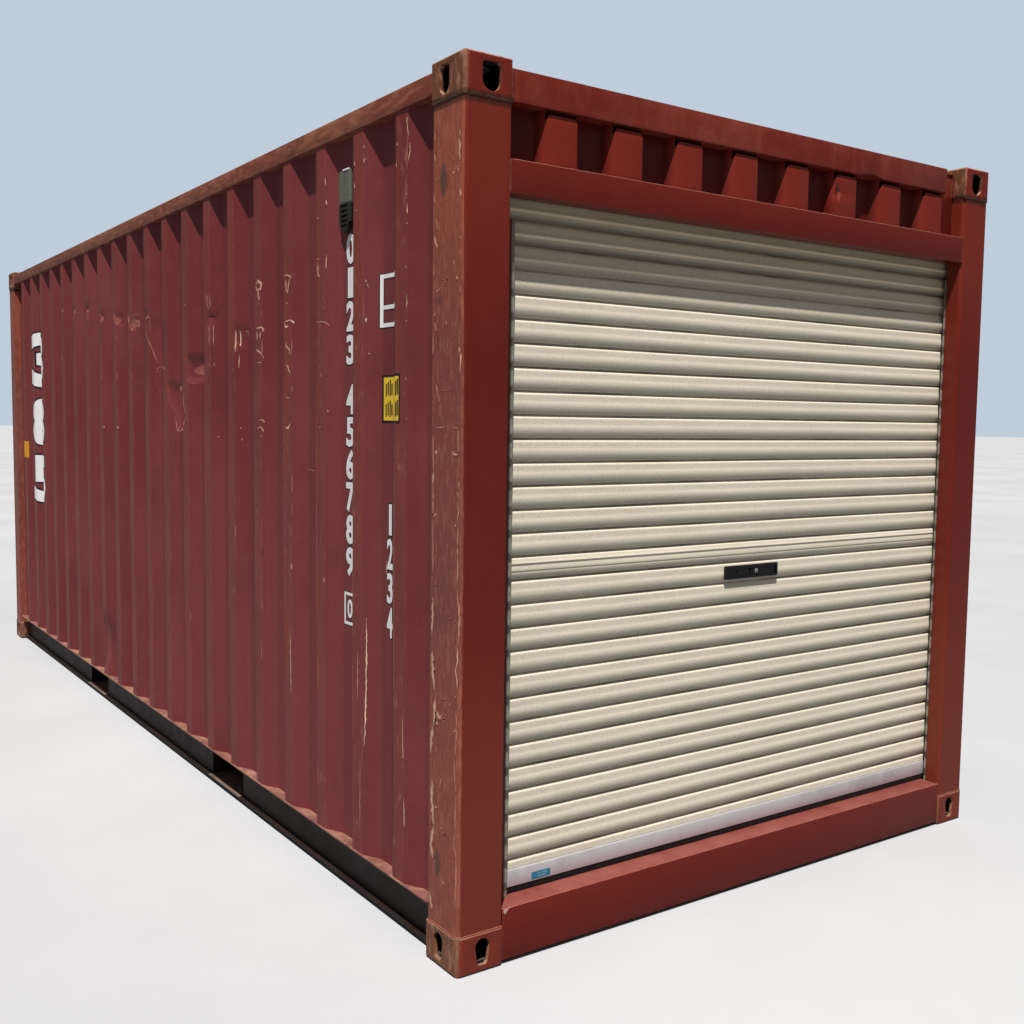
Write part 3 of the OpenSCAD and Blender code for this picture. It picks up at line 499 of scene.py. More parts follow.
def painted_steel(name, paint, faded, fading=0.4, streaks=0.25, grime=0.3, rust=0.12, scratch=0.0,
                  stretch=(90.0, 90.0, 2.0), folds=None, fresh=None, dust=0.25, bump=0.25, smooth=0.0, weld=False,
                  worn=False, tiers=(), dusty="#b39a88", deep=(), rims=None, casting_shade=False, grain=None,
                  chalk_tint=None, painted_depth_shade=None):
    """A worn painted finish; the other values name where it is rubbed, rusted or painted over, and where shade and
    highlight are painted in
    """
    box = paint_box()
    f = Finish(name)
    coat = f.use("Weathered Paint", Position=f.position, Paint=paint, Faded=faded, Fading=fading,
                 Streaks=streaks, Grime=grime)
    colour, rough, height = coat["Color"], coat["Roughness"], coat["Height"]
    if smooth:
        rough = f.less(rough, smooth)
    bare = opaque(box.primer)
    if folds:
        colour = wear_and_highlight_folds(f, colour, folds, chalk_tint or faded, bare, worn)
    for low, high, tint, amount in tiers:
        colour = f.mix(f.times(f.rise(f.z, low, high), amount), colour, tint)
    if grain:
        lay, amount, dark, light = grain
        fibre = f.noise(f.position, 1.0, 5, 0.7, lay)
        colour = f.mix(f.rise(fibre, 0.50, 0.38, 0.0, amount), colour, dark)
        colour = f.mix(f.rise(fibre, 0.50, 0.62, 0.0, amount), colour, light)
        height = f.plus(height, f.times(fibre, 0.6))
    if scratch:
        lines = f.use("Scratch Lines", Position=f.position, Stretch=stretch, Amount=scratch)["Mask"]
        colour = f.mix(f.times(lines, 0.55), colour, bare)
        height = f.less(height, f.times(lines, 0.4))
    if worn:
        scuff = f.times(f.attribute("scuff"), f.rise(f.noise(f.position, 70.0, 5, 0.75), 0.30, 0.62), clamp=True)
        colour = f.mix(scuff, colour, bare)
    if rust:
        bloom = f.use("Rust Bloom", Position=f.position, Cover=rust, Rust=opaque(box.rust))
        colour = f.mix(bloom["Mask"], colour, bloom["Color"])
        rough = f.plus(rough, f.times(bloom["Mask"], 0.25), clamp=True)
        height = f.plus(height, f.times(bloom["Height"], 0.5))
    if fresh:
        colour, rough, height = paint_over(f, (colour, rough, height), fresh, deep)
    # Painted shade towards the back of a folded sheet and painted highlight towards its front, by its depth along x
    if painted_depth_shade:
        start, full, dark, light = painted_depth_shade
        colour = f.mix(1.0, colour, f.mix(f.rise(f.x, start, full), dark, light), "MULTIPLY")
    # A dark band just under the top castings: painted shadow of the casting's overhang on the post, over the weld
    # there
    if weld:
        gap = f.size(f.less(f.z, HEIGHT - CASTING_SIZE.z - 0.008))
        band = f.plus(gap, f.times(f.noise(f.position, 30.0), 0.010))
        colour = f.mix(f.rise(band, 0.009, 0.020, 0.75, 0.0), colour, shade("#3a2418"))
    if rims:
        colour = lighten_edges(f, colour, rims)
    if worn:
        colour = show_strokes(f, colour)
    # Painted shade inside the castings and along the foot of the top ones
    if casting_shade:
        colour = shade_castings(f, colour)
    if dust:
        mask = f.use("Settled Dust", Position=f.position, Facing=f.facing, Amount=dust)["Mask"]
        colour = f.mix(mask, colour, shade(dusty))
        rough = f.plus(rough, f.times(mask, 0.3), clamp=True)
    return f.finish(colour, rough, height, bump, 0.0025, Specular_IOR_Level=0.28)


def slat_place(f):
    """How far down its own slat a point of the roller door is, from 0 at the top shoulder to 1"""
    below = f.calc("DIVIDE", f.less(f.z, RIB_LOW), RIB_STEP)
    above = f.calc("DIVIDE", f.less(f.z, RIB_LOW + SEAM_SLAT * RIB_STEP), RIB_STEP_HIGH)
    above = f.plus(above, float(SEAM_SLAT))
    return f.less(1.0, f.calc("FRACT", f.calc("MAXIMUM", below, above)))


def steel_finishes():
    """Painted steel of the castings, posts, rails, walls and doors"""
    box = paint_box()
    fading = wear_box().wall_fading
    wall, faded, fresh = opaque(box.wall), opaque(box.faded), opaque(box.fresh)
    bright, bleached = (opaque([c * gain for c in box.fresh]) for gain in (1.3, 1.12))
    # Rosy tints the dust on the upward faces of the fresh front; on its ledges that tint is partly painted sunlight
    flank, pale_flank, rosy = opaque(box.flank), shade("#935a50"), "#c98c80"
    corner, brown = opaque(box.corner), shade("#96664f")
    wall_folds = (0, FIRST_CREST, WALL_PITCH, WALL_CREST / 2, 0.005, 1.0)
    warm = shade("#94463c")
    cast_grain = ((50.0, 50.0, 15.0), 0.65, shade("#6a4a2c"), shade("#bf8c72"))
    post_grain = ((70.0, 70.0, 17.0), 0.42, shade("#864c42"), shade("#bd7864"))
    # The side faces are tinted lighter towards the top and towards the foot
    heights = ((1.70, 2.35, shade("#ad5e45"), 0.7), (1.05, 0.50, shade("#a35545"), 0.6))
    return {
        "casting": painted_steel(
            "Rusty casting paint", corner, brown, 0.6, 0.2, 0.6, 0.25, 0.3, (60.0, 60.0, 12.0), bump=0.5,
            fresh=(0.66, 0.92, 0.0, False), grain=cast_grain, rims=(0.30, 0.85, shade("#cfa08c")), casting_shade=True,
            deep=((1.80, 2.40, (1.3, 1.6, 1.6, 1.0)), (1.15, 0.10, (1.3, 2.0, 2.0, 1.0)))),
        "casting_rear": painted_steel(
            "Rusty rear casting paint", corner, brown, 0.6, 0.2, 0.6, 0.35, 0.35, (60.0, 60.0, 12.0), bump=0.5,
            grain=cast_grain, rims=(0.35, 0.6, shade("#c09080")), casting_shade=True),
        "post": painted_steel(
            "Post paint", flank, pale_flank, 0.5, 0.3, 0.45, 0.14, 0.35, (140.0, 140.0, 1.6), bump=0.35,
            fresh=(0.86, 0.98, 0.25, True), weld=True, worn=True, tiers=heights, grain=post_grain,
            deep=((1.70, 2.40, (1.4, 1.8, 1.8, 1.0)), (1.15, 0.40, (1.25, 2.1, 2.0, 1.0)))),
        "post_rear": painted_steel(
            "Rear post paint", flank, pale_flank, 0.5, 0.35, 0.5, 0.30, 0.45, (140.0, 140.0, 1.6), bump=0.35,
            weld=True, tiers=heights, grain=post_grain),
        # The rims of the fresh front and of the header are partly worn paint and partly a painted highlight along the
        # lintel's, sill's and header's edges
        "front": painted_steel(
            "Fresh front paint", fresh, bright, 0.35, 0.12, 0.25, 0.0, bump=0.12, smooth=0.04, dust=0.30, dusty=rosy,
            rims=(0.45, 0.35, shade("#d08878"))),
        "header": painted_steel(
            "Sun bleached header paint", bleached, shade("#b06050"), 0.55, 0.2, 0.25, 0.0, bump=0.14, smooth=0.02,
            dust=0.3, dusty=rosy, rims=(0.8, 0.8, shade("#c87a6a"))),
        "strip": painted_steel(
            "Cut end wall paint", bleached, bright, 0.45, 0.12, 0.20, 0.0, bump=0.12, smooth=0.02, dust=0.2,
            dusty=rosy, folds=(1, STRIP_CREST, STRIP_PITCH, STRIP_CREST_WIDTH / 2, 0.003, 0.25),
            # Painted shade in the strip's valleys and painted highlight on its crests
            painted_depth_shade=(STRIP[0].x + 0.004, STRIP[1].x - 0.006, (0.60, 0.60, 0.60, 1.0), (1.28, 1.40, 1.35, 1.0))),
        "rail": painted_steel(
            "Weathered rail paint", opaque(box.rail), brown, 0.7, 0.1, 0.5, 0.34, 0.35, (3.0, 90.0, 90.0), bump=0.4,
            rims=(0.5, 0.9, shade("#dba58a")),
            grain=((14.0, 55.0, 55.0), 0.5, shade("#6e3a2c"), shade("#b4755a"))),
        "wall": painted_steel(
            "Worn wall paint", wall, faded, fading, 0.22, 0.25, 0.06, 0.22, (110.0, 110.0, 2.2), bump=0.22,
            folds=wall_folds, worn=True, chalk_tint=warm),
        "wall_right": painted_steel(
            "Worn right wall paint", wall, faded, fading, 0.25, 0.25, 0.10, 0.22, (110.0, 110.0, 2.2), bump=0.22,
            folds=wall_folds, chalk_tint=warm),
        "roof": painted_steel(
            "Chalky roof paint", wall, shade("#8a5a55"), 0.9, 0.1, 0.5, 0.30, 0.2, (20.0, 60.0, 60.0), bump=0.3,
            dust=0.45),
        "rear": painted_steel(
            "Old door paint", wall, faded, 0.6, 0.35, 0.35, 0.20, 0.30, (110.0, 110.0, 2.0), bump=0.25),
        "under": painted_steel(
            "Dark underside paint", shade("#241d1a"), shade("#3c3029"), 0.5, 0.2, 0.4, 0.22, 0.1, (3.0, 60.0, 60.0),
            bump=0.5, dust=0.55),
        "gear": painted_steel(
            "Worn door gear", shade("#5a4039"), shade("#8f8178"), 0.7, 0.3, 0.4, 0.35, 0.4, (80.0, 80.0, 3.0),
            bump=0.4),
    }


def rail_finish():
    """Lower rails: dark web, paler ledge on top, partly worn paint and partly painted sunlight on the top flange"""
    f = Finish("Bottom rail paint")
    coat = f.use("Weathered Paint", Position=f.position, Paint=shade("#201713"), Faded=shade("#3a2a23"),
                 Fading=0.4, Streaks=0.2, Grime=0.5)
    bloom = f.use("Rust Bloom", Position=f.position, Cover=0.25, Rust=opaque(paint_box().rust))
    colour = f.mix(bloom["Mask"], coat["Color"], bloom["Color"])
    # Paler ledge along the top: painted sunlight on the top flange, with patchy wear
    ledge = f.times(f.rise(f.z, WALL[0].z - 0.012, WALL[0].z - 0.004), f.patches(14.0, 0.30, 0.55, 0.55, 1.0))
    colour = f.mix(ledge, colour, f.mix(f.patches(6.0, 0.4, 0.65), shade("#8d5c52"), shade("#b58a74")))
    return f.finish(colour, f.plus(coat["Roughness"], 0.1), coat["Height"], 0.5, 0.003)


def guide_finish():
    """Galvanised guides: dull zinc with spangle and dirt, a painted reflection of the curtain that is dark at each
    groove's height, painted shade over their top, and overspray at their edge
    """
    f = Finish("Dull galvanised steel")
    spangle = f.split(f.add("ShaderNodeTexVoronoi", {"Vector": f.position, "Scale": 70.0}).outputs["Color"])[0]
    dirt = f.patches(14.0, 0.36, 0.66)
    colour = f.mix(spangle, shade("#a3a292"), shade("#bcbbae"))
    down = slat_place(f)
    # Painted reflection of the curtain's grooves: dark at each groove's height
    wave = f.calc("MINIMUM", down, f.less(1.0, down))
    groove_reflection = f.rise(f.plus(wave, f.times(dirt, 0.06)), 0.14, 0.30, 0.8, 0.0)
    colour = f.mix(groove_reflection, colour, shade("#34342c"))
    colour = f.mix(f.times(dirt, 0.35), colour, shade("#5c5b4e"))
    # Painted shade over the top of the guides
    colour = f.mix(f.rise(f.z, 1.98, 2.06, 0.0, 0.85), colour, shade("#8a8270"))
    sprayed = f.rise(f.plus(f.y, f.times(dirt, 0.002)), -1.0120, -1.0090, 1.0, 0.0)
    colour = f.mix(sprayed, colour, opaque(paint_box().fresh))
    return f.finish(colour, f.rise(dirt, 0, 1, 0.38, 0.68), dirt, 0.15, 0.001, Metallic=0.15)


def curtain_finish():
    """Roller curtain: satin cream with dirt in the grooves, a painted highlight on each slat's upper shoulder,
    painted shade on its lower part and painted shade over the top of the curtain
    """
    cream = paint_box().cream
    f = Finish("Cream curtain paint")
    coat = f.use("Weathered Paint", Position=f.position, Paint=opaque(cream), Faded=opaque([c * 0.90 for c in cream]),
                 Fading=0.35, Streaks=0.15, Grime=0.10)
    groove = f.rise(f.x, CURTAIN[1].x - 0.0125, CURTAIN[1].x - 0.0085, 1.0, 0.0)
    smear = f.rise(f.noise(f.position, 1.0, 5, 0.65, (10.0, 3.0, 30.0)), 0.40, 0.70)
    dirt = f.times(groove, f.rise(smear, 0, 1, 0.45, 0.85), clamp=True)
    colour = f.mix(dirt, coat["Color"], shade("#352e1c"))
    colour = f.mix(f.times(smear, 0.10), colour, shade("#8c7f68"))
    # Painted light on every slat: brighter at its upper shoulder, darker on its lower part; from z 2.0 up also a
    # painted highlight along the flute and painted shade below it
    down = slat_place(f)
    flute = f.rise(f.size(f.less(down, 0.60)), 0.03, 0.08, 0.75, 0.0)
    painted_shading = f.plus(flute, f.rise(down, 0.70, 0.95, 0.0, -0.45))
    gain = f.plus(f.rise(down, 0.10, 0.19, 1.38, 1.08), f.rise(down, 0.60, 0.90, 0.0, -0.30),
                  f.times(f.rise(f.z, 2.00, 2.10), painted_shading))
    colour = f.mix(1.0, colour, gain, "MULTIPLY")
    # Painted shade, darker and warmer, over the top part of the curtain
    shaded = f.mix(1.0, colour, (0.84, 0.74, 0.56, 1.0), "MULTIPLY")
    colour = f.mix(f.rise(f.z, 1.90, 2.20, 0.0, 0.6), colour, shaded)
    drag = f.noise(f.position, 1.0, 4, 0.6, (40.0, 1.4, 90.0))
    height = f.plus(f.times(coat["Height"], 0.3), f.times(drag, 0.9))
    return f.finish(colour, f.less(coat["Roughness"], 0.06), height, 0.16, 0.0015)


def bar_finish():
    """Anodised bottom bar, drawn lengthwise"""
    f = Finish("Satin aluminium")
    drag = f.noise(f.position, 1.0, 4, 0.6, (60.0, 1.2, 160.0))
    dirt = f.rise(f.noise(f.position, 5.0, 5, 0.65), 0.45, 0.72)
    colour = f.mix(f.times(dirt, 0.45), shade("#d3ced2"), shade("#a39ba0"))
    return f.finish(colour, f.rise(drag, 0.2, 0.8, 0.34, 0.55), drag, 0.12, 0.001, Metallic=0.25)


def vent_finish():
    """Moulded ventilator: grey and smooth above, nearly black below its middle"""
    f = Finish("Grey vent moulding")
    middle = (VENT[0].z + VENT[1].z) / 2
    spots = f.patches(30.0, 0.40, 0.72)
    colour = f.mix(f.times(spots, 0.5), shade("#6d7062"), shade("#4a4a3f"))
    # Nearly black below the middle
    colour = f.mix(f.rise(f.z, middle - 0.010, middle + 0.004, 0.95, 0.0), colour, shade("#161510"))
    return f.finish(colour, f.rise(spots, 0, 1, 0.48, 0.68), spots, 0.2, 0.001)


def floor_finish():
    """Worn plywood: boards across the floor with grain, gaps and tyre marks"""
    f = Finish("Worn plywood")
    board = f.calc("PINGPONG", f.x, 0.61)
    seam = f.rise(f.calc("MINIMUM", board, f.less(0.61, board)), 0.0015, 0.004, 1.0, 0.0)
    grain = f.noise(f.position, 1.0, 6, 0.65, (3.0, 60.0, 60.0))
    colour = f.mix(f.rise(grain, 0.3, 0.7), shade("#7a5a3c"), shade("#a9855c"))
    colour = f.mix(f.times(f.patches(1.6, 0.42, 0.7), 0.6), colour, shade("#4d3a28"))
    colour = f.mix(seam, colour, shade("#1a120c"))
    return f.finish(colour, f.rise(grain, 0.2, 0.8, 0.55, 0.8), f.less(grain, f.times(seam, 2.0)), 0.4, 0.002)


def mottled_finish(name, main, other, rough, scale, low, high, amount, more, fine, relief, deep):
    """A plain finish with patches of a second tone and a fine surface"""
    f = Finish(name)
    patch = f.patches(scale, low, high)
    colour = f.mix(f.times(patch, amount), shade(main), shade(other))
    height = f.noise(f.position, *fine)
    if relief:
        height = f.plus(patch, height)
    return f.finish(colour, f.rise(patch, 0, 1, rough, rough + more), height, 0.2, deep)


# Rubber and plastic of the roller door: two tones and roughness
MOULDED = {
    "rubber": ("Black rubber", "#070707", "#1c1a18", 0.75),
    "plastic": ("Black lock plate", "#08090a", "#242527", 0.36),
}

# Marks, labels and welds: two tones and roughness
MARKS = {
    "white": ("White mark paint", "#ffffff", "#f4eeea", 0.5),
    "black": ("Black mark paint", "#151214", "#35292a", 0.55),
    "yellow": ("Yellow mark", "#ffd83a", "#e6b422", 0.45),
    "orange": ("Orange mark", "#f0a818", "#c07a1c", 0.45),
    "blue": ("Blue label", "#2c86a8", "#1d5f7c", 0.4),
    "pale_blue": ("Pale label lines", "#8fc3d4", "#5f9fb8", 0.4),
    "pale": ("Pale chip", "#e2b6a4", "#b98474", 0.6),
    # Painted shade: the dark opening of the strip's tear and of the lock's key slot
    "painted_shading": ("Painted shade", "#38201e", "#4b2a28", 0.75),
    "weld": ("Painted weld", "#7a3228", "#93463a", 0.5),
    # Pale weld with a painted highlight, and dark weld in painted shade
    "weld_and_highlight": ("Weld with painted highlight", "#a05a4c", "#7c4236", 0.6),
    "weld_and_shade": ("Weld in painted shade", "#5c3424", "#7a4c3a", 0.7),
    "brass": ("Key barrel", "#9a9a98", "#6b6a66", 0.3),
    "lip": ("Scraped red lip", "#b0503f", "#8d382c", 0.5),
}


def make_finishes():
    """Builds every material of the container"""
    made = steel_finishes()
    made.update(bottom_rail=rail_finish(), guide=guide_finish(), curtain=curtain_finish(), bar=bar_finish(),
                vent=vent_finish(), plywood=floor_finish())
    for key, look in MOULDED.items():
        made[key] = mottled_finish(*look, 18.0, 0.5, 0.75, 0.6, 0.16, (240.0, 2), False, 0.0008)
    for key, look in MARKS.items():
        made[key] = mottled_finish(*look, 24.0, 0.46, 0.74, 0.7, 0.15, (180.0, 3), True, 0.0006)
    return made


FINISHES = {}

# Finish of each CAD node that keeps its own solid
NODE_FINISH = {
    "casting": ["casting_front_left_bottom", "casting_front_right_bottom", "casting_front_left_top",
                "casting_front_right_top"],
    "casting_rear": ["casting_rear_left_bottom", "casting_rear_right_bottom", "casting_rear_left_top",
                     "casting_rear_right_top"],
    "post": ["post_front_left", "post_front_right"],
    "post_rear": ["post_rear_left", "post_rear_right"],
    "rail": ["top_rail_left", "top_rail_right"],
    "bottom_rail": ["bottom_rail_left", "bottom_rail_right"],
    "front": ["front_header", "front_sill", "door_lintel"],
    "strip": ["end_wall_strip"],
    "rear": ["rear_header", "rear_sill", "cargo_door_left", "cargo_door_right", "door_hinges"],
    "wall": ["side_wall_left"],
    "wall_right": ["side_wall_right"],
    "roof": ["roof_panel"],
    "plywood": ["floor_boards"],
    "under": ["cross_members", "forklift_pocket_front", "forklift_pocket_rear"],
    "guide": ["guide_left", "guide_right", "roll_brackets"],
    "curtain": ["roller_curtain", "curtain_roll"],
    "bar": ["bottom_bar"],
    "rubber": ["bottom_seal", "door_gaskets"],
    "plastic": ["curtain_lock"],
    "gear": ["locking_bars", "locking_handles", "bar_keepers"],
    "vent": ["ventilators"],
}


# Modelling helpers

def put_down():
    """Leaves edit mode and selects nothing"""
    if bpy.context.object and bpy.context.object.mode != "OBJECT":
        bpy.ops.object.mode_set(mode="OBJECT")
    bpy.ops.object.select_all(action="DESELECT")


def hold(piece):
    """Makes a piece the only selected and active one"""
    put_down()
    piece.select_set(True)
    bpy.context.view_layer.objects.active = piece


def show(name, data):
    """A new object in the scene for a mesh, curve, lamp or camera"""
    piece = bpy.data.objects.new(name, data)
    bpy.context.scene.collection.objects.link(piece)
    return piece


def start(name, kind, place=(0, 0, 0), scale=(1, 1, 1), turn=None, **options):
    """Adds a primitive at its scale and place, and names it"""
    put_down()
    getattr(bpy.ops.mesh, f"primitive_{kind}_add")(location=place, **options)
    piece = bpy.context.object
    piece.name = piece.data.name = name
    piece.scale = scale
    if turn:
        piece.rotation_euler = turn
    bpy.ops.object.transform_apply(location=True, rotation=True, scale=True)
    return piece


def net(name, across, up):
    """Adds a grid and returns it with the column and row of each of its points"""
    piece = start(name, "grid", x_subdivisions=across, y_subdivisions=up, size=1.0)
    return piece, [(round((v.co.x + 0.5) * across), round((v.co.y + 0.5) * up)) for v in piece.data.vertices]


def copy_node(name, node):
    """Copies a CAD node's mesh, with its loose triangles merged into clean faces"""
    piece = show(name, NODES[node].data.copy())
    piece.data.name = name
    piece.data.materials.clear()
    hold(piece)
    bpy.ops.object.mode_set(mode="EDIT")
    bpy.ops.mesh.select_all(action="SELECT")
    bpy.ops.mesh.remove_doubles(threshold=0.00002)
    bpy.ops.mesh.dissolve_limited(angle_limit=math.radians(0.5))
    bpy.ops.object.mode_set(mode="OBJECT")
    return piece


def modify(piece, kind, **settings):
    """Adds a modifier and applies it"""
    hold(piece)
    change = piece.modifiers.new(kind.title(), kind)
    for key, value in settings.items():
        setattr(change, key, value)
    bpy.ops.object.modifier_apply(modifier=change.name)


def roll_edges(piece, width, segments, angle):
    """Rounds each edge sharper than an angle in degrees"""
    modify(piece, "BEVEL", width=width, segments=segments, limit_method="ANGLE", angle_limit=math.radians(angle))


def smooth(piece, angle=30):
    """Shades a piece smooth, apart from its sharp edges"""
    hold(piece)
    bpy.ops.object.shade_smooth_by_angle(angle=math.radians(angle))


def merge(name, pieces):
    """Joins pieces into one with its origin at the world's"""
    hold(pieces[0])
    for piece in pieces:
        piece.select_set(True)
    if len(pieces) > 1:
        bpy.ops.object.join()
    whole = bpy.context.object
    whole.name = whole.data.name = name
    bpy.ops.object.transform_apply(location=True, rotation=True, scale=True)
    return whole


def settle(piece, finish, slot, *replaced):
    """Gives a piece its finish and its body, and hides the nodes it replaces; slot is not used"""
    put_down()
    if finish:
        piece.data.materials.clear()
        piece.data.materials.append(FINISHES[finish])
    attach(piece, "root")
    if replaced:
        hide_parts(*replaced)
    return piece


def from_shapes(name, shapes):
    """A mesh of flat shapes, each a list of corners in its own plane"""
    mesh = bpy.data.meshes.new(name)
    corners, faces = [], []
    for shape in shapes:
        faces.append(list(range(len(corners), len(corners) + len(shape))))
        corners += [tuple(c) for c in shape]
    mesh.from_pydata(corners, [], faces)
    return show(name, mesh)


def plate(name, shapes, thickness, finish, slot):
    """Flat shapes with a thickness and a finish"""
    piece = from_shapes(name, shapes)
    modify(piece, "SOLIDIFY", thickness=thickness, offset=0.0)
    return settle(piece, finish, slot)


def cut(piece, axis, places):
    """Cuts a mesh straight across an axis at each place"""
    hold(piece)
    bpy.ops.object.mode_set(mode="EDIT")
    normal = [float(i == axis) for i in range(3)]
    for place in places:
        bpy.ops.mesh.select_all(action="SELECT")
        bpy.ops.mesh.bisect(plane_co=[place * n for n in normal], plane_no=normal)
    bpy.ops.object.mode_set(mode="OBJECT")


# Shape of the left wall

def fold_depth(x):
    """How far the sheet lies in from the crests at a place along the wall"""
    last = FIRST_CREST + (CRESTS - 1) * WALL_PITCH
    near = min(max(round((x - FIRST_CREST) / WALL_PITCH), 0), CRESTS - 1)
    gap = abs(x - FIRST_CREST - near * WALL_PITCH) - WALL_CREST / 2
    if x > last + WALL_PITCH / 2 or x < FIRST_CREST - WALL_PITCH / 2:
        return WALL_DEPTH
    return WALL_DEPTH * min(max(gap / WALL_SLOPE, 0.0), 1.0)


# Dents as outlines on the wall (x, z in metres), depth as a share of the deepest, and the width of their sides
DENTS = [
    ([(0.449, 1.757), (0.480, 1.680), (0.515, 1.604), (0.532, 1.528), (0.723, 1.589), (0.691, 1.648),
      (0.640, 1.740)], 0.4, 0.045),
    ([(0.732, 1.868), (0.966, 1.858), (0.905, 1.746), (0.728, 1.747)], 0.6, 0.055),
    ([(0.157, 2.063), (0.153, 1.987), (0.211, 1.937), (0.253, 1.841), (0.452, 1.833), (0.447, 2.032)], 0.15, 0.050),
    ([(-0.147, 2.108), (-0.032, 2.093), (-0.038, 2.020), (-0.108, 2.022)], 0.3, 0.040),
    ([(-0.692, 2.160), (-0.603, 2.150), (-0.610, 2.101), (-0.679, 2.105)], 0.3, 0.035),
    ([(-0.401, 2.139), (-0.298, 2.125), (-0.304, 2.057), (-0.374, 2.060)], 0.3, 0.035),
    ([(-0.850, 0.420), (-0.760, 0.210), (-0.560, 0.200), (-0.540, 0.420), (-0.680, 0.520)], 0.9, 0.080),
    ([(-1.560, 2.260), (-1.560, 2.190), (-1.490, 2.190), (-1.490, 2.260)], 0.35, 0.035),
    ([(-1.265, 2.230), (-1.265, 2.160), (-1.195, 2.160), (-1.195, 2.230)], 0.35, 0.035),
    ([(-0.975, 2.220), (-0.975, 2.150), (-0.900, 2.150), (-0.900, 2.220)], 0.35, 0.035),
    ([(0.128, 2.106), (0.128, 2.066), (0.198, 2.066), (0.198, 2.106)], 0.3, 0.030),
    ([(1.005, 2.030), (1.010, 1.990), (1.080, 1.985), (1.080, 2.025)], 0.4, 0.030),
    ([(1.300, 1.960), (1.300, 1.870), (1.380, 1.870), (1.380, 1.960)], 0.3, 0.040),
]


def edge_gap(x, z, outline):
    """Distance into an outline from its nearest edge, or 0 outside it"""
    inside = False
    nearest = 9.0
    for (ax, az), (bx, bz) in zip(outline, outline[1:] + outline[:1]):
        if (az > z) != (bz > z) and x < (bx - ax) * (z - az) / (bz - az) + ax:
            inside = not inside
        span = (bx - ax) ** 2 + (bz - az) ** 2
        t = min(max(((x - ax) * (bx - ax) + (z - az) * (bz - az)) / span, 0.0), 1.0)
        nearest = min(nearest, math.hypot(x - ax - t * (bx - ax), z - az - t * (bz - az)))
    return nearest if inside else 0.0


def dent(x, z):
    """How far a place on the left wall is pushed in by dents and buckles"""
    wear = wear_box()
    total = 0.0
    for outline, share, side in DENTS:
        gap = edge_gap(x, z, outline)
        if gap:
            t = min(gap / side, 1.0)
            total += wear.dent_depth * share * t * (2 - t)
    edge = min((z - WALL[0].z) / 0.15, (WALL[1].z - z) / 0.15, (WALL[1].x - abs(x)) / 0.1, 1.0)
    wander = noise.noise(Vector((x * 1.7, 3.1, z * 1.1))) + 0.5 * noise.noise(Vector((x * 5.0, 1.7, z * 2.3)))
    return total + wear.buckle * max(edge, 0.0) * wander


def sheet_depth(x):
    """Depth of the sheet with its folds rounded"""
    r = wear_box().fold_radius
    return 0.5 * fold_depth(x) + 0.25 * (fold_depth(x - r) + fold_depth(x + r))


SURFACE = {}


def wall_y(x, z):
    """Outer face of the left wall at a place, found on its sheet"""
    place = SURFACE["left"].ray_cast(Vector((x, BOARD_Y, z)), Vector((0, 1, 0)))[0]
    return place.y if place else WALL[0].y + sheet_depth(x)


def fold_places(low, high):
    """Places along the wall where the sheet folds"""
    r = 0.006
    reaches = (-WALL_CREST / 2 - WALL_SLOPE, -WALL_CREST / 2, WALL_CREST / 2, WALL_CREST / 2 + WALL_SLOPE)
    places = [FIRST_CREST + i * WALL_PITCH + reach + part
              for i in range(CRESTS) for reach in reaches for part in (-r, 0.0, r)]
    return [place for place in places if low < place < high]


def lay_on_wall(piece, proud, finish, thick=0.0004):
    """Cuts a flat mark at the wall's folds, lays it on the sheet and paints it"""
    xs = [v.co.x for v in piece.data.vertices]
    cut(piece, 0, fold_places(min(xs), max(xs)))
    piece.data.shade_flat()
    for v in piece.data.vertices:
        v.co.y = wall_y(v.co.x, v.co.z) - proud
    modify(piece, "SOLIDIFY", thickness=thick, offset=-1.0)
    settle(piece, finish, "wall_paint")


class FinishBase:
    """What the steps share"""
    bl_options = {"REGISTER", "UNDO"}


class CONTAINER_OT_finishes(FinishBase, bpy.types.Operator):
    """Builds the finishes and paints every CAD node"""
    bl_idname = "container.finishes"
    bl_label = "Finishes"

    def execute(self, context):
        make_effects()
        FINISHES.update(make_finishes())
        for finish, names in NODE_FINISH.items():
            for name in names:
                slots = NODES[name].data.materials
                slots.clear()
                slots.append(FINISHES[finish])
        return {"FINISHED"}


def wall_columns():
    """Places along the left wall where its sheet has points: at its folds, and closer together at the dents"""
    r = wear_box().fold_radius
    columns = {WALL[0].x, WALL[1].x - 0.009}
    columns |= {0.100 + 0.012 * i for i in range(74)} | {-0.700 + 0.017 * i for i in range(42)}
    for i in range(CRESTS):
        middle = FIRST_CREST + i * WALL_PITCH
        for half in (WALL_CREST / 2, WALL_CREST / 2 + WALL_SLOPE):
            for s in (-1, 1):
                columns |= {middle + s * half - r, middle + s * half, middle + s * half + r}
        columns |= {middle - 0.017, middle, middle + 0.017}
        for part in (0.33, 0.66):
            reach = WALL_CREST / 2 + part * WALL_SLOPE
            columns |= {middle - reach, middle + reach}
        if i < CRESTS - 1:
            columns |= {middle + WALL_PITCH / 2 - 0.014, middle + WALL_PITCH / 2 + 0.014}
    return sorted(columns)


def wall_rows():
    """Heights at which the left wall's sheet has points, closer together at the upper dents"""
    low, high = WALL[0].z, WALL[1].z
    rows = [low]
    while rows[-1] < high - 0.001:
        fine = 1.48 < rows[-1] < 2.28
        rows.append(min(rows[-1] + (0.016 if fine else 0.055), high))
    return rows


def scuffed(x, z):
    """How far the paint is scuffed off at a place on the left wall"""
    if edge_gap(x, z, DENTS[3][0]):
        return 0.35
    worn = 0.0
    for outline, share, side in DENTS[:2]:
        gap = edge_gap(x, z, outline)
        if gap:
            worn = max(worn, 0.20 * share * (1 - min(gap / 0.022, 1.0)))
    return worn


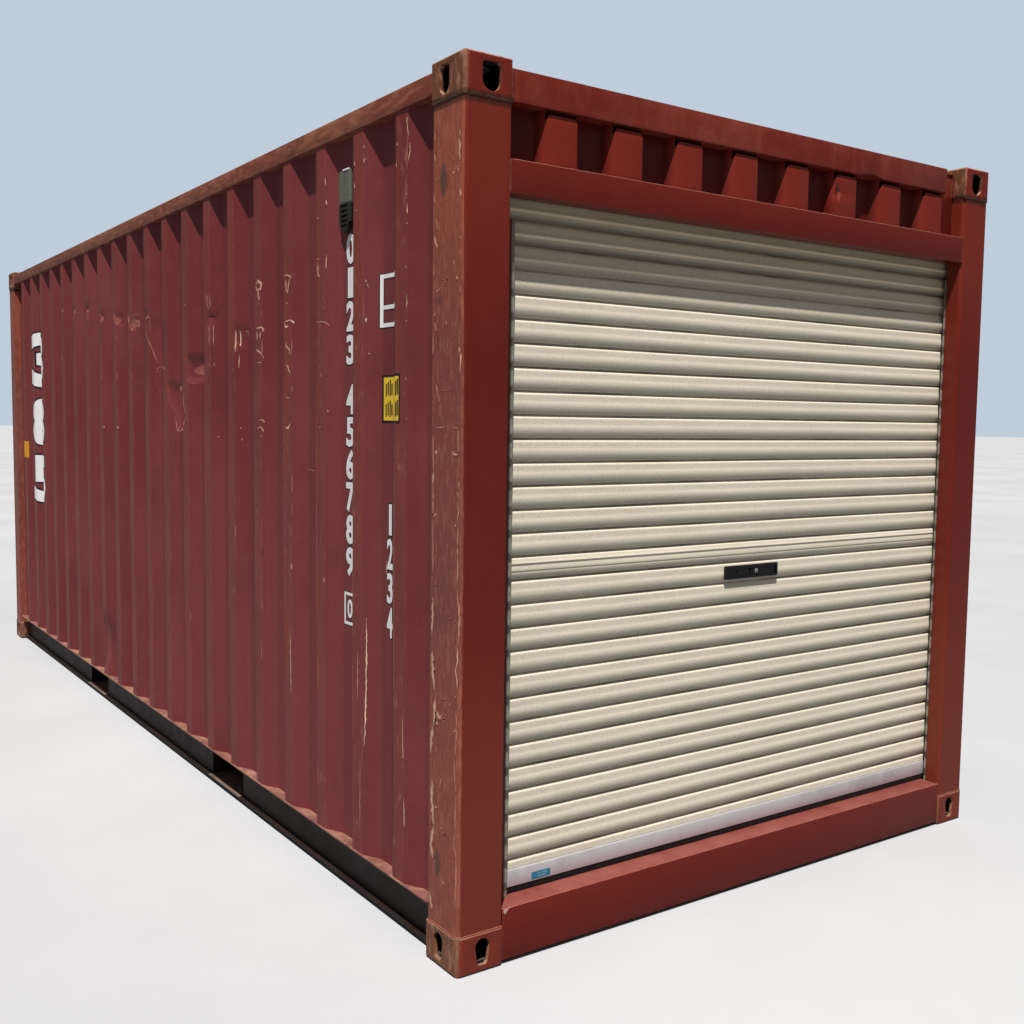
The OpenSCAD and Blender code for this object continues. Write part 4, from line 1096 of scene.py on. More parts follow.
class CONTAINER_OT_left_wall(FinishBase, bpy.types.Operator):
    """Left wall: a folded sheet with rounded folds, buckles and the dents of its working life"""
    bl_idname = "container.left_wall"
    bl_label = "Dented left wall"

    def execute(self, context):
        columns, rows = wall_columns(), wall_rows()
        piece, places = net("left_wall_sheet", len(columns) - 1, len(rows) - 1)
        mesh = piece.data
        scuff = mesh.attributes.new("scuff", "FLOAT", "POINT")
        for v, (i, j) in zip(mesh.vertices, places):
            x, z = columns[i], rows[j]
            v.co = (x, WALL[0].y + sheet_depth(x) + dent(x, z), z)
            scuff.data[v.index].value = scuffed(x, z)
        modify(piece, "SOLIDIFY", thickness=SHEET, offset=-1.0)
        smooth(piece, 24)
        SURFACE["left"] = BVHTree.FromPolygons([v.co.copy() for v in mesh.vertices],
                                               [tuple(p.vertices) for p in mesh.polygons])
        settle(piece, "wall", "wall_paint", "side_wall_left")
        return {"FINISHED"}


def glyph(text, low_x, high_x, low_z, high_z, weight):
    """A plain numeral as a flat mesh between two corners on the wall"""
    put_down()
    bpy.ops.object.text_add()
    words = bpy.context.object
    words.data.body = text
    words.data.offset = weight
    words.data.resolution_u = 3
    bpy.ops.object.convert(target="MESH")
    piece = bpy.context.object
    points = [v.co.copy() for v in piece.data.vertices]
    left, right = min(p.x for p in points), max(p.x for p in points)
    foot, head = min(p.y for p in points), max(p.y for p in points)
    for v, p in zip(piece.data.vertices, points):
        v.co = (low_x + (p.x - left) / (right - left) * (high_x - low_x), BOARD_Y,
                low_z + (p.y - foot) / (head - foot) * (high_z - low_z))
    return piece


def panel(low_x, high_x, low_z, high_z):
    """Corners of an upright rectangle on the drawing plane"""
    return [(x, BOARD_Y, z) for x, z in ((low_x, low_z), (high_x, low_z), (high_x, high_z), (low_x, high_z))]


def frame_of(low_x, high_x, low_z, high_z, t, sides="LRBT"):
    """Bars of a painted box"""
    bars = {"L": panel(low_x, low_x + t, low_z, high_z), "R": panel(high_x - t, high_x, low_z, high_z),
            "B": panel(low_x + t, high_x - t * ("R" in sides), low_z, low_z + t),
            "T": panel(low_x + t, high_x - t * ("R" in sides), high_z - t, high_z)}
    return [bars[s] for s in sides]


class CONTAINER_OT_marks(FinishBase, bpy.types.Operator):
    """Painted marks: plain numerals and blank panels laid on the folds of the left wall"""
    bl_idname = "container.marks"
    bl_label = "Marks"

    def execute(self, context):
        white, edges = [], []

        def numeral(c, low_x, high_x, low_z, high_z, weight, rim=0.004):
            white.append(glyph(c, low_x, high_x, low_z, high_z, weight))
            edges.append(glyph(c, low_x - rim, high_x + rim, low_z - rim, high_z + rim, weight * 1.6))

        def bars(low_x, high_x, low_z, high_z, t, sides="LRBT", rim=0.003):
            white.append(from_shapes("bars", frame_of(low_x, high_x, low_z, high_z, t, sides)))
            edges.append(from_shapes("rims", frame_of(low_x - rim, high_x + rim, low_z - rim, high_z + rim,
                                                      t + 2 * rim, sides)))

        tops = [(2.202 - 0.1095 * i, c) for i, c in enumerate("0123")]
        tops += [(1.710 - 0.1086 * i, c) for i, c in enumerate("456789")]
        for top, c in tops:
            left, right = (2.246, 2.286) if c == "1" else (2.236, 2.297)
            numeral(c, left, right, top - 0.099, top, 0.036)
        numeral("0", 2.246, 2.284, 0.925, 0.990, 0.020)
        bars(2.224, 2.302, 0.902, 1.012, 0.010)
        for i, c in enumerate("1234"):
            left, right = (2.538, 2.556) if c == "1" else (2.526, 2.564)
            numeral(c, left, right, 1.330 - 0.109 * i - 0.098, 1.330 - 0.109 * i, 0.026)
        bars(2.483, 2.602, 1.882, 2.046, 0.013, "LBT")
        white.append(from_shapes("bar", [panel(2.496, 2.602, 1.937, 1.950)]))
        edges.append(from_shapes("rim", [panel(2.496, 2.602, 1.934, 1.953)]))
        for c, low, high in (("3", 1.780, 2.138), ("8", 1.392, 1.711), ("5", 1.018, 1.330)):
            numeral(c, -2.360, -2.040, low, high, 0.045, 0.012)
        lay_on_wall(merge("mark_edges", edges), 0.0005, "black")
        lay_on_wall(merge("mark_numerals", white), 0.0010, "white")

        bar_places = (2.514, 2.527, 2.540, 2.551, 2.640, 2.650)
        small_bars = [panel(x, x + 0.007, low + 0.004 * (i % 2), low + 0.038 + 0.006 * (i % 3))
                      for i, x in enumerate(bar_places) for low in (1.604, 1.668)]
        for name, shapes, *look in (
                ("mark_patch_edge", [panel(2.491, 2.667, 1.584, 1.734)], 0.0005, "black"),
                ("mark_yellow_patch", [panel(2.501, 2.659, 1.592, 1.726)], 0.0010, "yellow"),
                ("mark_patch_bars", small_bars, 0.0015, "black"),
                ("mark_orange_patch", [panel(-2.842, -2.560, 1.304, 1.416)], 0.0012, "orange", 0.0006)):
            lay_on_wall(from_shapes(name, shapes), *look)
        return {"FINISHED"}


# Tone and strength of each kind of stroke: soot, faint, plain, bright, beige, soft, dull
STROKE_KINDS = ((0.0, 0.9), (0.52, 0.6), (0.72, 0.9), (1.0, 1.0), (0.88, 0.95), (0.45, 0.55), (0.25, 0.8))


class Strokes:
    """Worn lines and spots of one face, each point with its strength and its tone"""

    def __init__(self, seed):
        self.rng = random.Random(seed)
        self.corners, self.faces, self.core, self.tone = [], [], [], []

    def corner(self, x, z, core, tone):
        self.corners.append((x, BOARD_Y, z))
        self.core.append(core)
        self.tone.append(tone)
        return len(self.corners) - 1

    def line(self, kind, width, points):
        """A ragged line, strong along its middle and fading to its sides"""
        tone, peak = STROKE_KINDS[kind]
        dense = []
        for (ax, az), (bx, bz) in zip(points, points[1:]):
            steps = max(2, int(math.hypot(bx - ax, bz - az) / 0.010))
            dense += [(ax + (bx - ax) * i / steps, az + (bz - az) * i / steps) for i in range(steps)]
        dense.append(points[-1])
        n = len(dense) - 1
        rows = []
        for i, (x, z) in enumerate(dense):
            (ax, az), (bx, bz) = dense[max(i - 1, 0)], dense[min(i + 1, n)]
            span = math.hypot(bx - ax, bz - az) or 1.0
            nx, nz = -(bz - az) / span, (bx - ax) / span
            half = width / 2 * self.rng.uniform(0.65, 1.3)
            sway = self.rng.uniform(-0.15, 0.15) * width
            strength = peak * min(1.0, 0.45 + 2.2 * min(i, n - i) / n) * self.rng.uniform(0.75, 1.0)
            rows.append([self.corner(x + nx * (sway + s * half), z + nz * (sway + s * half),
                                     0.0 if s else strength, tone) for s in (-1, 0, 1)])
        for a, b in zip(rows, rows[1:]):
            self.faces += [(a[k], b[k], b[k + 1], a[k + 1]) for k in (0, 1)]

    def spot(self, kind, x, z, width, height, count):
        """An uneven oval, flat within and fading at its rim"""
        tone, peak = STROKE_KINDS[kind]
        middle = self.corner(x, z, peak, tone)
        rings = []
        for reach, core in ((0.6, peak), (1.15, 0.0)):
            ring = []
            for i in range(count):
                a = 2 * math.pi * i / count
                s = reach * self.rng.uniform(0.82, 1.12) / 2
                ring.append(self.corner(x + width * s * math.cos(a), z + height * s * math.sin(a), core, tone))
            rings.append(ring)
        inner, outer = rings
        for i in range(count):
            j = (i + 1) % count
            self.faces += [(middle, inner[i], inner[j]), (inner[i], outer[i], outer[j], inner[j])]

    def table(self, rows):
        """Lines given in millimetres as kind, width and the corners' x and z"""
        for kind, width, *flat in rows:
            self.line(kind, width / 1000, [(x / 1000, z / 1000) for x, z in zip(flat[::2], flat[1::2])])

    def spots(self, rows, count=12):
        """Ovals given in millimetres as kind, x, z, width and height"""
        for kind, *sizes in rows:
            self.spot(kind, *(s / 1000 for s in sizes), count)

    def build(self, name):
        """The drawn lines and spots as one flat mesh"""
        mesh = bpy.data.meshes.new(name)
        mesh.from_pydata(self.corners, [], self.faces)
        for title, values in (("core", self.core), ("tone", self.tone)):
            mesh.attributes.new(title, "FLOAT", "POINT").data.foreach_set("value", values)
        return show(name, mesh)


# Worn lines of the left wall in millimetres: kind, width, then x and z of each corner
WALL_WEAR = [
    (3, 8, 1850, 836, 1854, 711, 1857, 588), (3, 8, 2440, 955, 2440, 818, 2438, 686, 2433, 529),
    (4, 7, 2394, 837, 2392, 677), (4, 7, 2692, 691, 2695, 564, 2684, 552), (4, 7, 2700, 437, 2706, 344),
    (2, 8, 2089, 772, 2089, 640), (2, 8, 1574, 753, 1576, 651), (2, 9, 2413, 491, 2411, 238),
    (4, 6, 2523, 1151, 2522, 1103),
    (2, 6.6, 170, 2062, 153, 1987, 211, 1937, 253, 1841), (2, 18.2, 204, 2087, 161, 2060),
    (2, 9.2, 244, 1798, 248, 1825, 276, 1834, 451, 1818, 438, 1799), (1, 6.1, 242, 1794, 239, 1722),
    (5, 9.8, 458, 1734, 485, 1665, 511, 1608), (2, 5.6, 519, 1581, 528, 1528), (3, 5, 528, 1524, 536, 1551),
    (2, 28, 574, 1740, 534, 1719), (2, 19.1, 688, 1711, 695, 1648, 723, 1600),
    (2, 20.7, 723, 1593, 693, 1563, 534, 1532), (1, 5, 723, 1604, 773, 1568), (2, 13.3, -682, 2150, -638, 2107),
    (2, 10, -398, 2134, -367, 2063), (2, 7.5, -367, 2085, -318, 2092), (2, 20.7, -143, 2103, -121, 2044, -66, 2025),
    (2, 13.6, -72, 2075, -32, 2064, -40, 2032), (2, 6.7, -134, 2095, -65, 2086), (1, 10.1, -913, 1986, -919, 1898),
    (2, 21.8, -953, 2188, -929, 2168), (2, 20, -640, 1821, -649, 1785), (2, 10, -354, 1822, -355, 1783),
    (2, 13.7, -81, 1818, -85, 1781), (2, 23.1, 728, 2093, 732, 2078), (5, 14.8, 732, 1795, 797, 1798),
    (5, 14.7, 758, 1743, 818, 1739), (1, 13.4, -920, 1889, -920, 1777), (1, 5.4, 241, 1738, 241, 1719),
    (2, 17, 1003, 2117, 1012, 2064, 1031, 2045), (2, 6.8, 1033, 2114, 1041, 2048), (0, 8.6, 1021, 2019, 1061, 2013),
    (2, 15.2, 1028, 1980, 1029, 1897), (2, 8.3, 1048, 1979, 1054, 1976, 1054, 1893), (1, 5, 1085, 2002, 1097, 1988),
    (2, 11.5, 1024, 1824, 1035, 1800), (2, 6.8, 1058, 1824, 1053, 1807),
    (3, 8.1, 1315, 1942, 1315, 1880, 1322, 1857), (3, 7.1, 1334, 1942, 1337, 1883, 1343, 1879),
    (2, 5.9, 1355, 1935, 1376, 1935, 1373, 1908), (4, 7.5, 1336, 1843, 1333, 1791),
    (2, 15.6, 1298, 1798, 1298, 1772), (5, 15.7, 1310, 1745, 1319, 1692),
    (4, 18.5, 1536, 2096, 1558, 2111, 1592, 2100, 1585, 2079, 1553, 2077, 1536, 2094),
    (4, 18.2, 1566, 2077, 1570, 2037), (4, 11.1, 1544, 1935, 1588, 1937, 1602, 1929, 1596, 1918),
    (4, 18.3, 1547, 1922, 1555, 1891), (4, 17.3, 1583, 1920, 1579, 1892),
    (4, 13.9, 1539, 1857, 1587, 1839, 1603, 1823), (4, 7.3, 1554, 1806, 1592, 1802),
    (4, 17.3, 1554, 1692, 1557, 1689), (4, 7.4, 1567, 1587, 1598, 1587, 1604, 1575),
    (4, 8.7, 1552, 1555, 1583, 1562, 1594, 1553, 1603, 1542), (3, 10.2, 1586, 1527, 1589, 1523),
    (4, 9, 1804, 2104, 1833, 2108, 1867, 2095, 1864, 2109), (4, 16.4, 1818, 2091, 1827, 2043),
    (4, 16.1, 1857, 2093, 1845, 2071, 1833, 2039), (4, 16.4, 1830, 2013, 1832, 2001),
    (3, 8.3, 1810, 1944, 1866, 1944, 1879, 1936, 1877, 1927), (3, 12.5, 1810, 1940, 1814, 1925, 1844, 1922),
    (4, 16, 1828, 1870, 1821, 1853, 1850, 1840, 1857, 1821), (4, 15.5, 1820, 1790, 1842, 1780, 1860, 1750),
    (4, 7.7, 1824, 1670, 1853, 1667), (3, 11.5, 1814, 1561, 1841, 1560, 1863, 1580),
    (4, 14.6, 2095, 2136, 2097, 2132), (4, 14.7, 2091, 2121, 2093, 2093, 2102, 2069),
    (2, 4.8, 2090, 1924, 2141, 1917), (2, 10.5, 2114, 1752, 2121, 1732), (2, 7.4, 1066, 1514, 1080, 1515),
    (4, 8.6, 1340, 1558, 1341, 1549), (4, 8.5, 1344, 1516, 1348, 1503), (4, 12.7, 2105, 1568, 2110, 1564),
    (3, 5.5, 2700, 2480, 2703, 2446, 2707, 2422), (4, 5.9, 2710, 2406, 2713, 2379, 2706, 2349),
    (4, 11.3, 2643, 2416, 2643, 2405), (4, 11.4, 2639, 2361, 2639, 2343), (3, 9.2, 2698, 2257, 2698, 2254),
    (3, 4.9, 2704, 2230, 2703, 2199), (3, 5.6, 2703, 2174, 2703, 2170), (3, 7.4, 2700, 2047, 2700, 2043),
    (4, 6, 2706, 1968, 2706, 1952), (4, 6.1, 2427, 2451, 2427, 2440), (3, 5.8, 2427, 2411, 2427, 2393),
    (4, 6.2, 2427, 2375, 2427, 2372), (4, 6.1, 2435, 2408, 2436, 2404), (4, 13, 2365, 2412, 2366, 2395),
    (4, 13, 2364, 2343, 2364, 2324), (4, 12.9, 2379, 2258, 2379, 2254), (3, 5.8, 2431, 2034, 2441, 2018, 2444, 2004),
    (4, 6.5, 2147, 2399, 2151, 2368), (3, 6.8, 2150, 2323, 2156, 2306), (3, 13.9, 2093, 2137, 2093, 2132),
    (4, 14.7, 2087, 2127, 2087, 2086), (4, 7.4, 2153, 2141, 2150, 2095), (4, 6.4, 2082, 2272, 2106, 2269),
    (4, 6.2, 2437, 2027, 2445, 2005), (3, 5.9, 2437, 1909, 2438, 1905), (3, 5.9, 2447, 1805, 2447, 1799),
    (4, 7.3, 2080, 1923, 2128, 1922, 2153, 1916, 2163, 1905), (4, 6, 2703, 1966, 2706, 1946, 2703, 1926),
    (3, 5.6, 2703, 1889, 2703, 1885), (4, 6.6, 2700, 1722, 2703, 1711), (2, 8.2, 2690, 1681, 2695, 1660),
    (3, 5.7, 2705, 1600, 2705, 1596), (4, 6.8, 2157, 1625, 2157, 1617), (2, 5.2, 1926, 1413, 1993, 1410),
]

# Chips of the left wall in millimetres: kind, x, z, width, height
WALL_CHIPS = [
    (2, -1526, 2227, 30, 24), (2, -1231, 2197, 30, 24), (2, -939, 2184, 26, 22), (2, -1812, 1519, 24, 22),
    (2, -631, 1537, 22, 20), (2, -356, 1536, 22, 20), (2, -1361, 1928, 22, 30), (2, -1829, 1945, 20, 26),
    (2, -1530, 1943, 20, 26), (2, 1865, 1057, 14, 26), (2, 2140, 1041, 12, 22), (3, 2436, 1908, 8, 14),
    (3, -199, 579, 60, 50), (5, 836, 1800, 150, 60), (5, -640, 2118, 50, 50), (5, -352, 2090, 50, 60),
    (5, -75, 2060, 80, 80),
]


class CONTAINER_OT_scratches(FinishBase, bpy.types.Operator):
    """Scratches and chips of the left wall, down to the pale primer"""
    bl_idname = "container.scratches"
    bl_label = "Scratches"

    def execute(self, context):
        marks = Strokes(7)
        marks.table(WALL_WEAR)
        marks.spots(WALL_CHIPS)
        for k in range(CRESTS):
            middle = FIRST_CREST + k * WALL_PITCH
            top = marks.rng.uniform(1.5, 1.9)
            marks.line(2, 0.006, [(middle - 0.034, top), (middle - 0.034, marks.rng.uniform(0.3, 0.9))])
            for _ in range(4 + 2 * (k > 12)):
                x = middle + marks.rng.choice((-1, 1, 1)) * (WALL_CREST / 2 + marks.rng.uniform(-0.002, 0.004))
                z = marks.rng.uniform(0.25, 2.45)
                marks.line(marks.rng.choice((1, 1, 2)), marks.rng.uniform(0.003, 0.006),
                           [(x, z), (x, z - marks.rng.uniform(0.02, 0.10))])
        lay_on_wall(marks.build("wall_scratches"), 0.0006, "wall")
        return {"FINISHED"}


# A plain rib of the curtain and the one with the lap seam, from groove to groove: shares of the pitch and the depth
RIB = [(0.0, 1.0), (0.03, 0.98), (0.045, 0.92), (0.07, 0.74), (0.11, 0.54), (0.15, 0.43), (0.20, 0.40), (0.33, 0.315),
       (0.40, 0.27), (0.44, 0.205), (0.48, 0.125), (0.52, 0.06), (0.56, 0.025), (0.60, 0.005), (0.64, 0.0),
       (0.70, 0.03), (0.76, 0.09), (0.82, 0.17), (0.88, 0.26), (0.92, 0.34), (0.95, 0.55), (0.975, 0.80)]
SEAM_RIB = [(0.0, 1.0), (0.03, 0.97), (0.05, 0.86), (0.09, 0.62), (0.13, 0.50), (0.17, 0.44), (0.25, 0.30),
            (0.28, 0.12), (0.31, 0.06), (0.34, 0.10), (0.36, 0.26), (0.40, 0.24), (0.44, 0.19), (0.48, 0.125),
            (0.52, 0.06), (0.58, 0.0), (0.62, 0.02), (0.635, 0.16), (0.66, 0.18), (0.70, 0.10), (0.76, 0.12),
            (0.82, 0.19), (0.88, 0.28), (0.92, 0.36), (0.95, 0.56), (0.975, 0.80)]


# Depth of the curtain's grooves and number of its ribs
RIB_DEPTH = 0.012
RIBS = 31


def curtain_line():
    """Section of the curtain from its top to its foot, as x and z"""
    low, high = CURTAIN
    back = high.x - RIB_DEPTH
    line = []
    for i in range(RIBS - 1, -1, -1):
        rib = SEAM_RIB if i == SEAM_SLAT else RIB
        top = RIB_LOW + min(i, SEAM_SLAT) * RIB_STEP + max(i - SEAM_SLAT, 0) * RIB_STEP_HIGH
        reach = RIB_STEP if i <= SEAM_SLAT else RIB_STEP_HIGH
        line += [(high.x - d * RIB_DEPTH, top - s * reach) for s, d in rib]
    return [(back, high.z), *[(x, z) for x, z in line if low.z < z < high.z], (back, low.z)]


class CONTAINER_OT_curtain(FinishBase, bpy.types.Operator):
    """Roller curtain: rolled ribs with a shallow flute, one lap seam and a slight sag between the guides"""
    bl_idname = "container.curtain"
    bl_label = "Roller curtain"

    def execute(self, context):
        low, high = CURTAIN
        line = curtain_line()
        across = 24
        piece, places = net("curtain_ribs", across, len(line) - 1)
        for v, (i, j) in zip(piece.data.vertices, places):
            x, z = line[len(line) - 1 - j]
            y = low.y + (high.y - low.y) * i / across
            inner = max(min((y - low.y) / 0.12, (high.y - y) / 0.12, 1.0), 0.0)
            rise = max(min((z - low.z) / 0.1, (high.z - z) / 0.1, 1.0), 0.0)
            wave = abs(noise.noise(Vector((4.0, y * 2.2, z * 3.0))))
            sway = noise.noise(Vector((0.3, y * 1.3, round(z / RIB_STEP_HIGH) * 0.9)))
            v.co = (x - 0.0008 * inner * wave, y, z + 0.0011 * sway * inner * rise)
        modify(piece, "SOLIDIFY", thickness=0.0012, offset=-1.0)
        smooth(piece, 50)
        settle(piece, "curtain", "curtain_paint", "roller_curtain")
        return {"FINISHED"}


class CONTAINER_OT_soft_edges(FinishBase, bpy.types.Operator):
    """Rolled edges of the sills, lintel, rear header, top rails, bottom bar and corner castings"""
    bl_idname = "container.soft_edges"
    bl_label = "Rolled edges"

    def execute(self, context):
        castings = [(f"casting_{end}_{side}_{level}", "casting" if end == "front" else "casting_rear",
                     "casting_steel", 0.004)
                    for end in ("front", "rear") for side in ("left", "right") for level in ("bottom", "top")]
        for node, finish, slot, width in (
                ("front_sill", "front", "front_paint", 0.004), ("door_lintel", "front", "front_paint", 0.005),
                ("rear_sill", "rear", "wall_paint", 0.004), ("rear_header", "rear", "wall_paint", 0.004),
                ("top_rail_left", "rail", "rail_paint", 0.005), ("top_rail_right", "rail", "rail_paint", 0.005),
                ("bottom_bar", "bar", "bar_aluminium", 0.0012), *castings):
            piece = copy_node(node + "_rolled", node)
            roll_edges(piece, width, 3, 40)
            smooth(piece, 30)
            settle(piece, finish, slot, node)
        return {"FINISHED"}


class CONTAINER_OT_header(FinishBase, bpy.types.Operator):
    """Front header with rolled edges and a knock in its lower lip"""
    bl_idname = "container.header"
    bl_label = "Knocked header"

    def execute(self, context):
        piece = copy_node("header_knocked", "front_header")
        foot = HEADER[0].z
        cut(piece, 1, [0.415 + 0.011 * i for i in range(17)] + [0.945, 0.958, 0.972, 0.986, 1.0])
        cut(piece, 2, [foot + rise for rise in (0.010, 0.026, 0.048)])
        knock_middle, knock_half, knock_rise = 0.505, 0.075, 0.060
        bend_start, bend_length = 0.945, 0.055
        for v in piece.data.vertices:
            t = (v.co.y - knock_middle) / knock_half
            if abs(t) < 1 and v.co.x > HEADER[1].x - 0.020:
                knock = (1 - t * t) ** 2 * max(0.0, 1 - (v.co.z - foot) / knock_rise)
                v.co.z += 0.013 * knock
                v.co.x -= 0.006 * knock
            turn = min(max((v.co.y - bend_start) / bend_length, 0.0), 1.0)
            v.co.x -= (v.co.x - HEADER[0].x) * 0.82 * turn * turn * (3 - 2 * turn)
        roll_edges(piece, 0.004, 3, 50)
        smooth(piece, 30)
        settle(piece, "header", "front_paint", "front_header")
        return {"FINISHED"}


class CONTAINER_OT_strip(FinishBase, bpy.types.Operator):
    """Strip of the old end wall: rounded folds and a tear in one slope"""
    bl_idname = "container.strip"
    bl_label = "Torn strip"

    def execute(self, context):
        piece = copy_node("strip_torn", "end_wall_strip")
        bend = STRIP_CREST + 5 * STRIP_PITCH - STRIP_CREST_WIDTH / 2
        cut(piece, 2, (2.335, 2.350, 2.365, 2.380, 2.395, 2.410, 2.425, 2.440))
        cut(piece, 1, (bend - 0.014, bend - 0.006, bend + 0.006, bend + 0.014))
        tear_z, tear_width, tear_height = 2.380, 0.020, 0.048
        for v in piece.data.vertices:
            away = abs(v.co.y - bend) / tear_width
            rise = abs(v.co.z - tear_z) / tear_height
            if away < 1 and rise < 1:
                push = (1 - away * away) * (1 - rise * rise)
                v.co.y -= 0.010 * push
                v.co.x -= 0.006 * push * (1 if v.co.z > tear_z + 0.005 else -0.4)
        roll_edges(piece, 0.0022, 2, 25)
        smooth(piece, 30)
        settle(piece, "strip", "front_paint", "end_wall_strip")

        face = 3.0142
        # The slit is painted shade in the tear's opening
        plate("strip_slit", [[(face, bend - 0.006, 2.436), (face, bend + 0.003, 2.434), (face, bend + 0.016, 2.402),
                              (face, bend + 0.002, 2.408)]], 0.0006, "painted_shading", "front_paint")
        # The lip beside the slit is lighter: a painted highlight on the torn edge
        plate("strip_lip", [[(face, bend + 0.002, 2.407), (face + 0.003, bend + 0.017, 2.401),
                             (face + 0.001, bend + 0.012, 2.376), (face, bend + 0.001, 2.366)]],
              0.0012, "lip", "front_paint")
        return {"FINISHED"}


def post_y(x):
    """Outer face of the left front post, round its bend"""
    past = max(x - (POST[1].x - POST_BEND), POST[0].x - POST_REACH + POST_BEND - x, 0.0)
    past = min(past, POST_BEND)
    return POST[0].y + POST_BEND - math.sqrt(POST_BEND ** 2 - past ** 2)


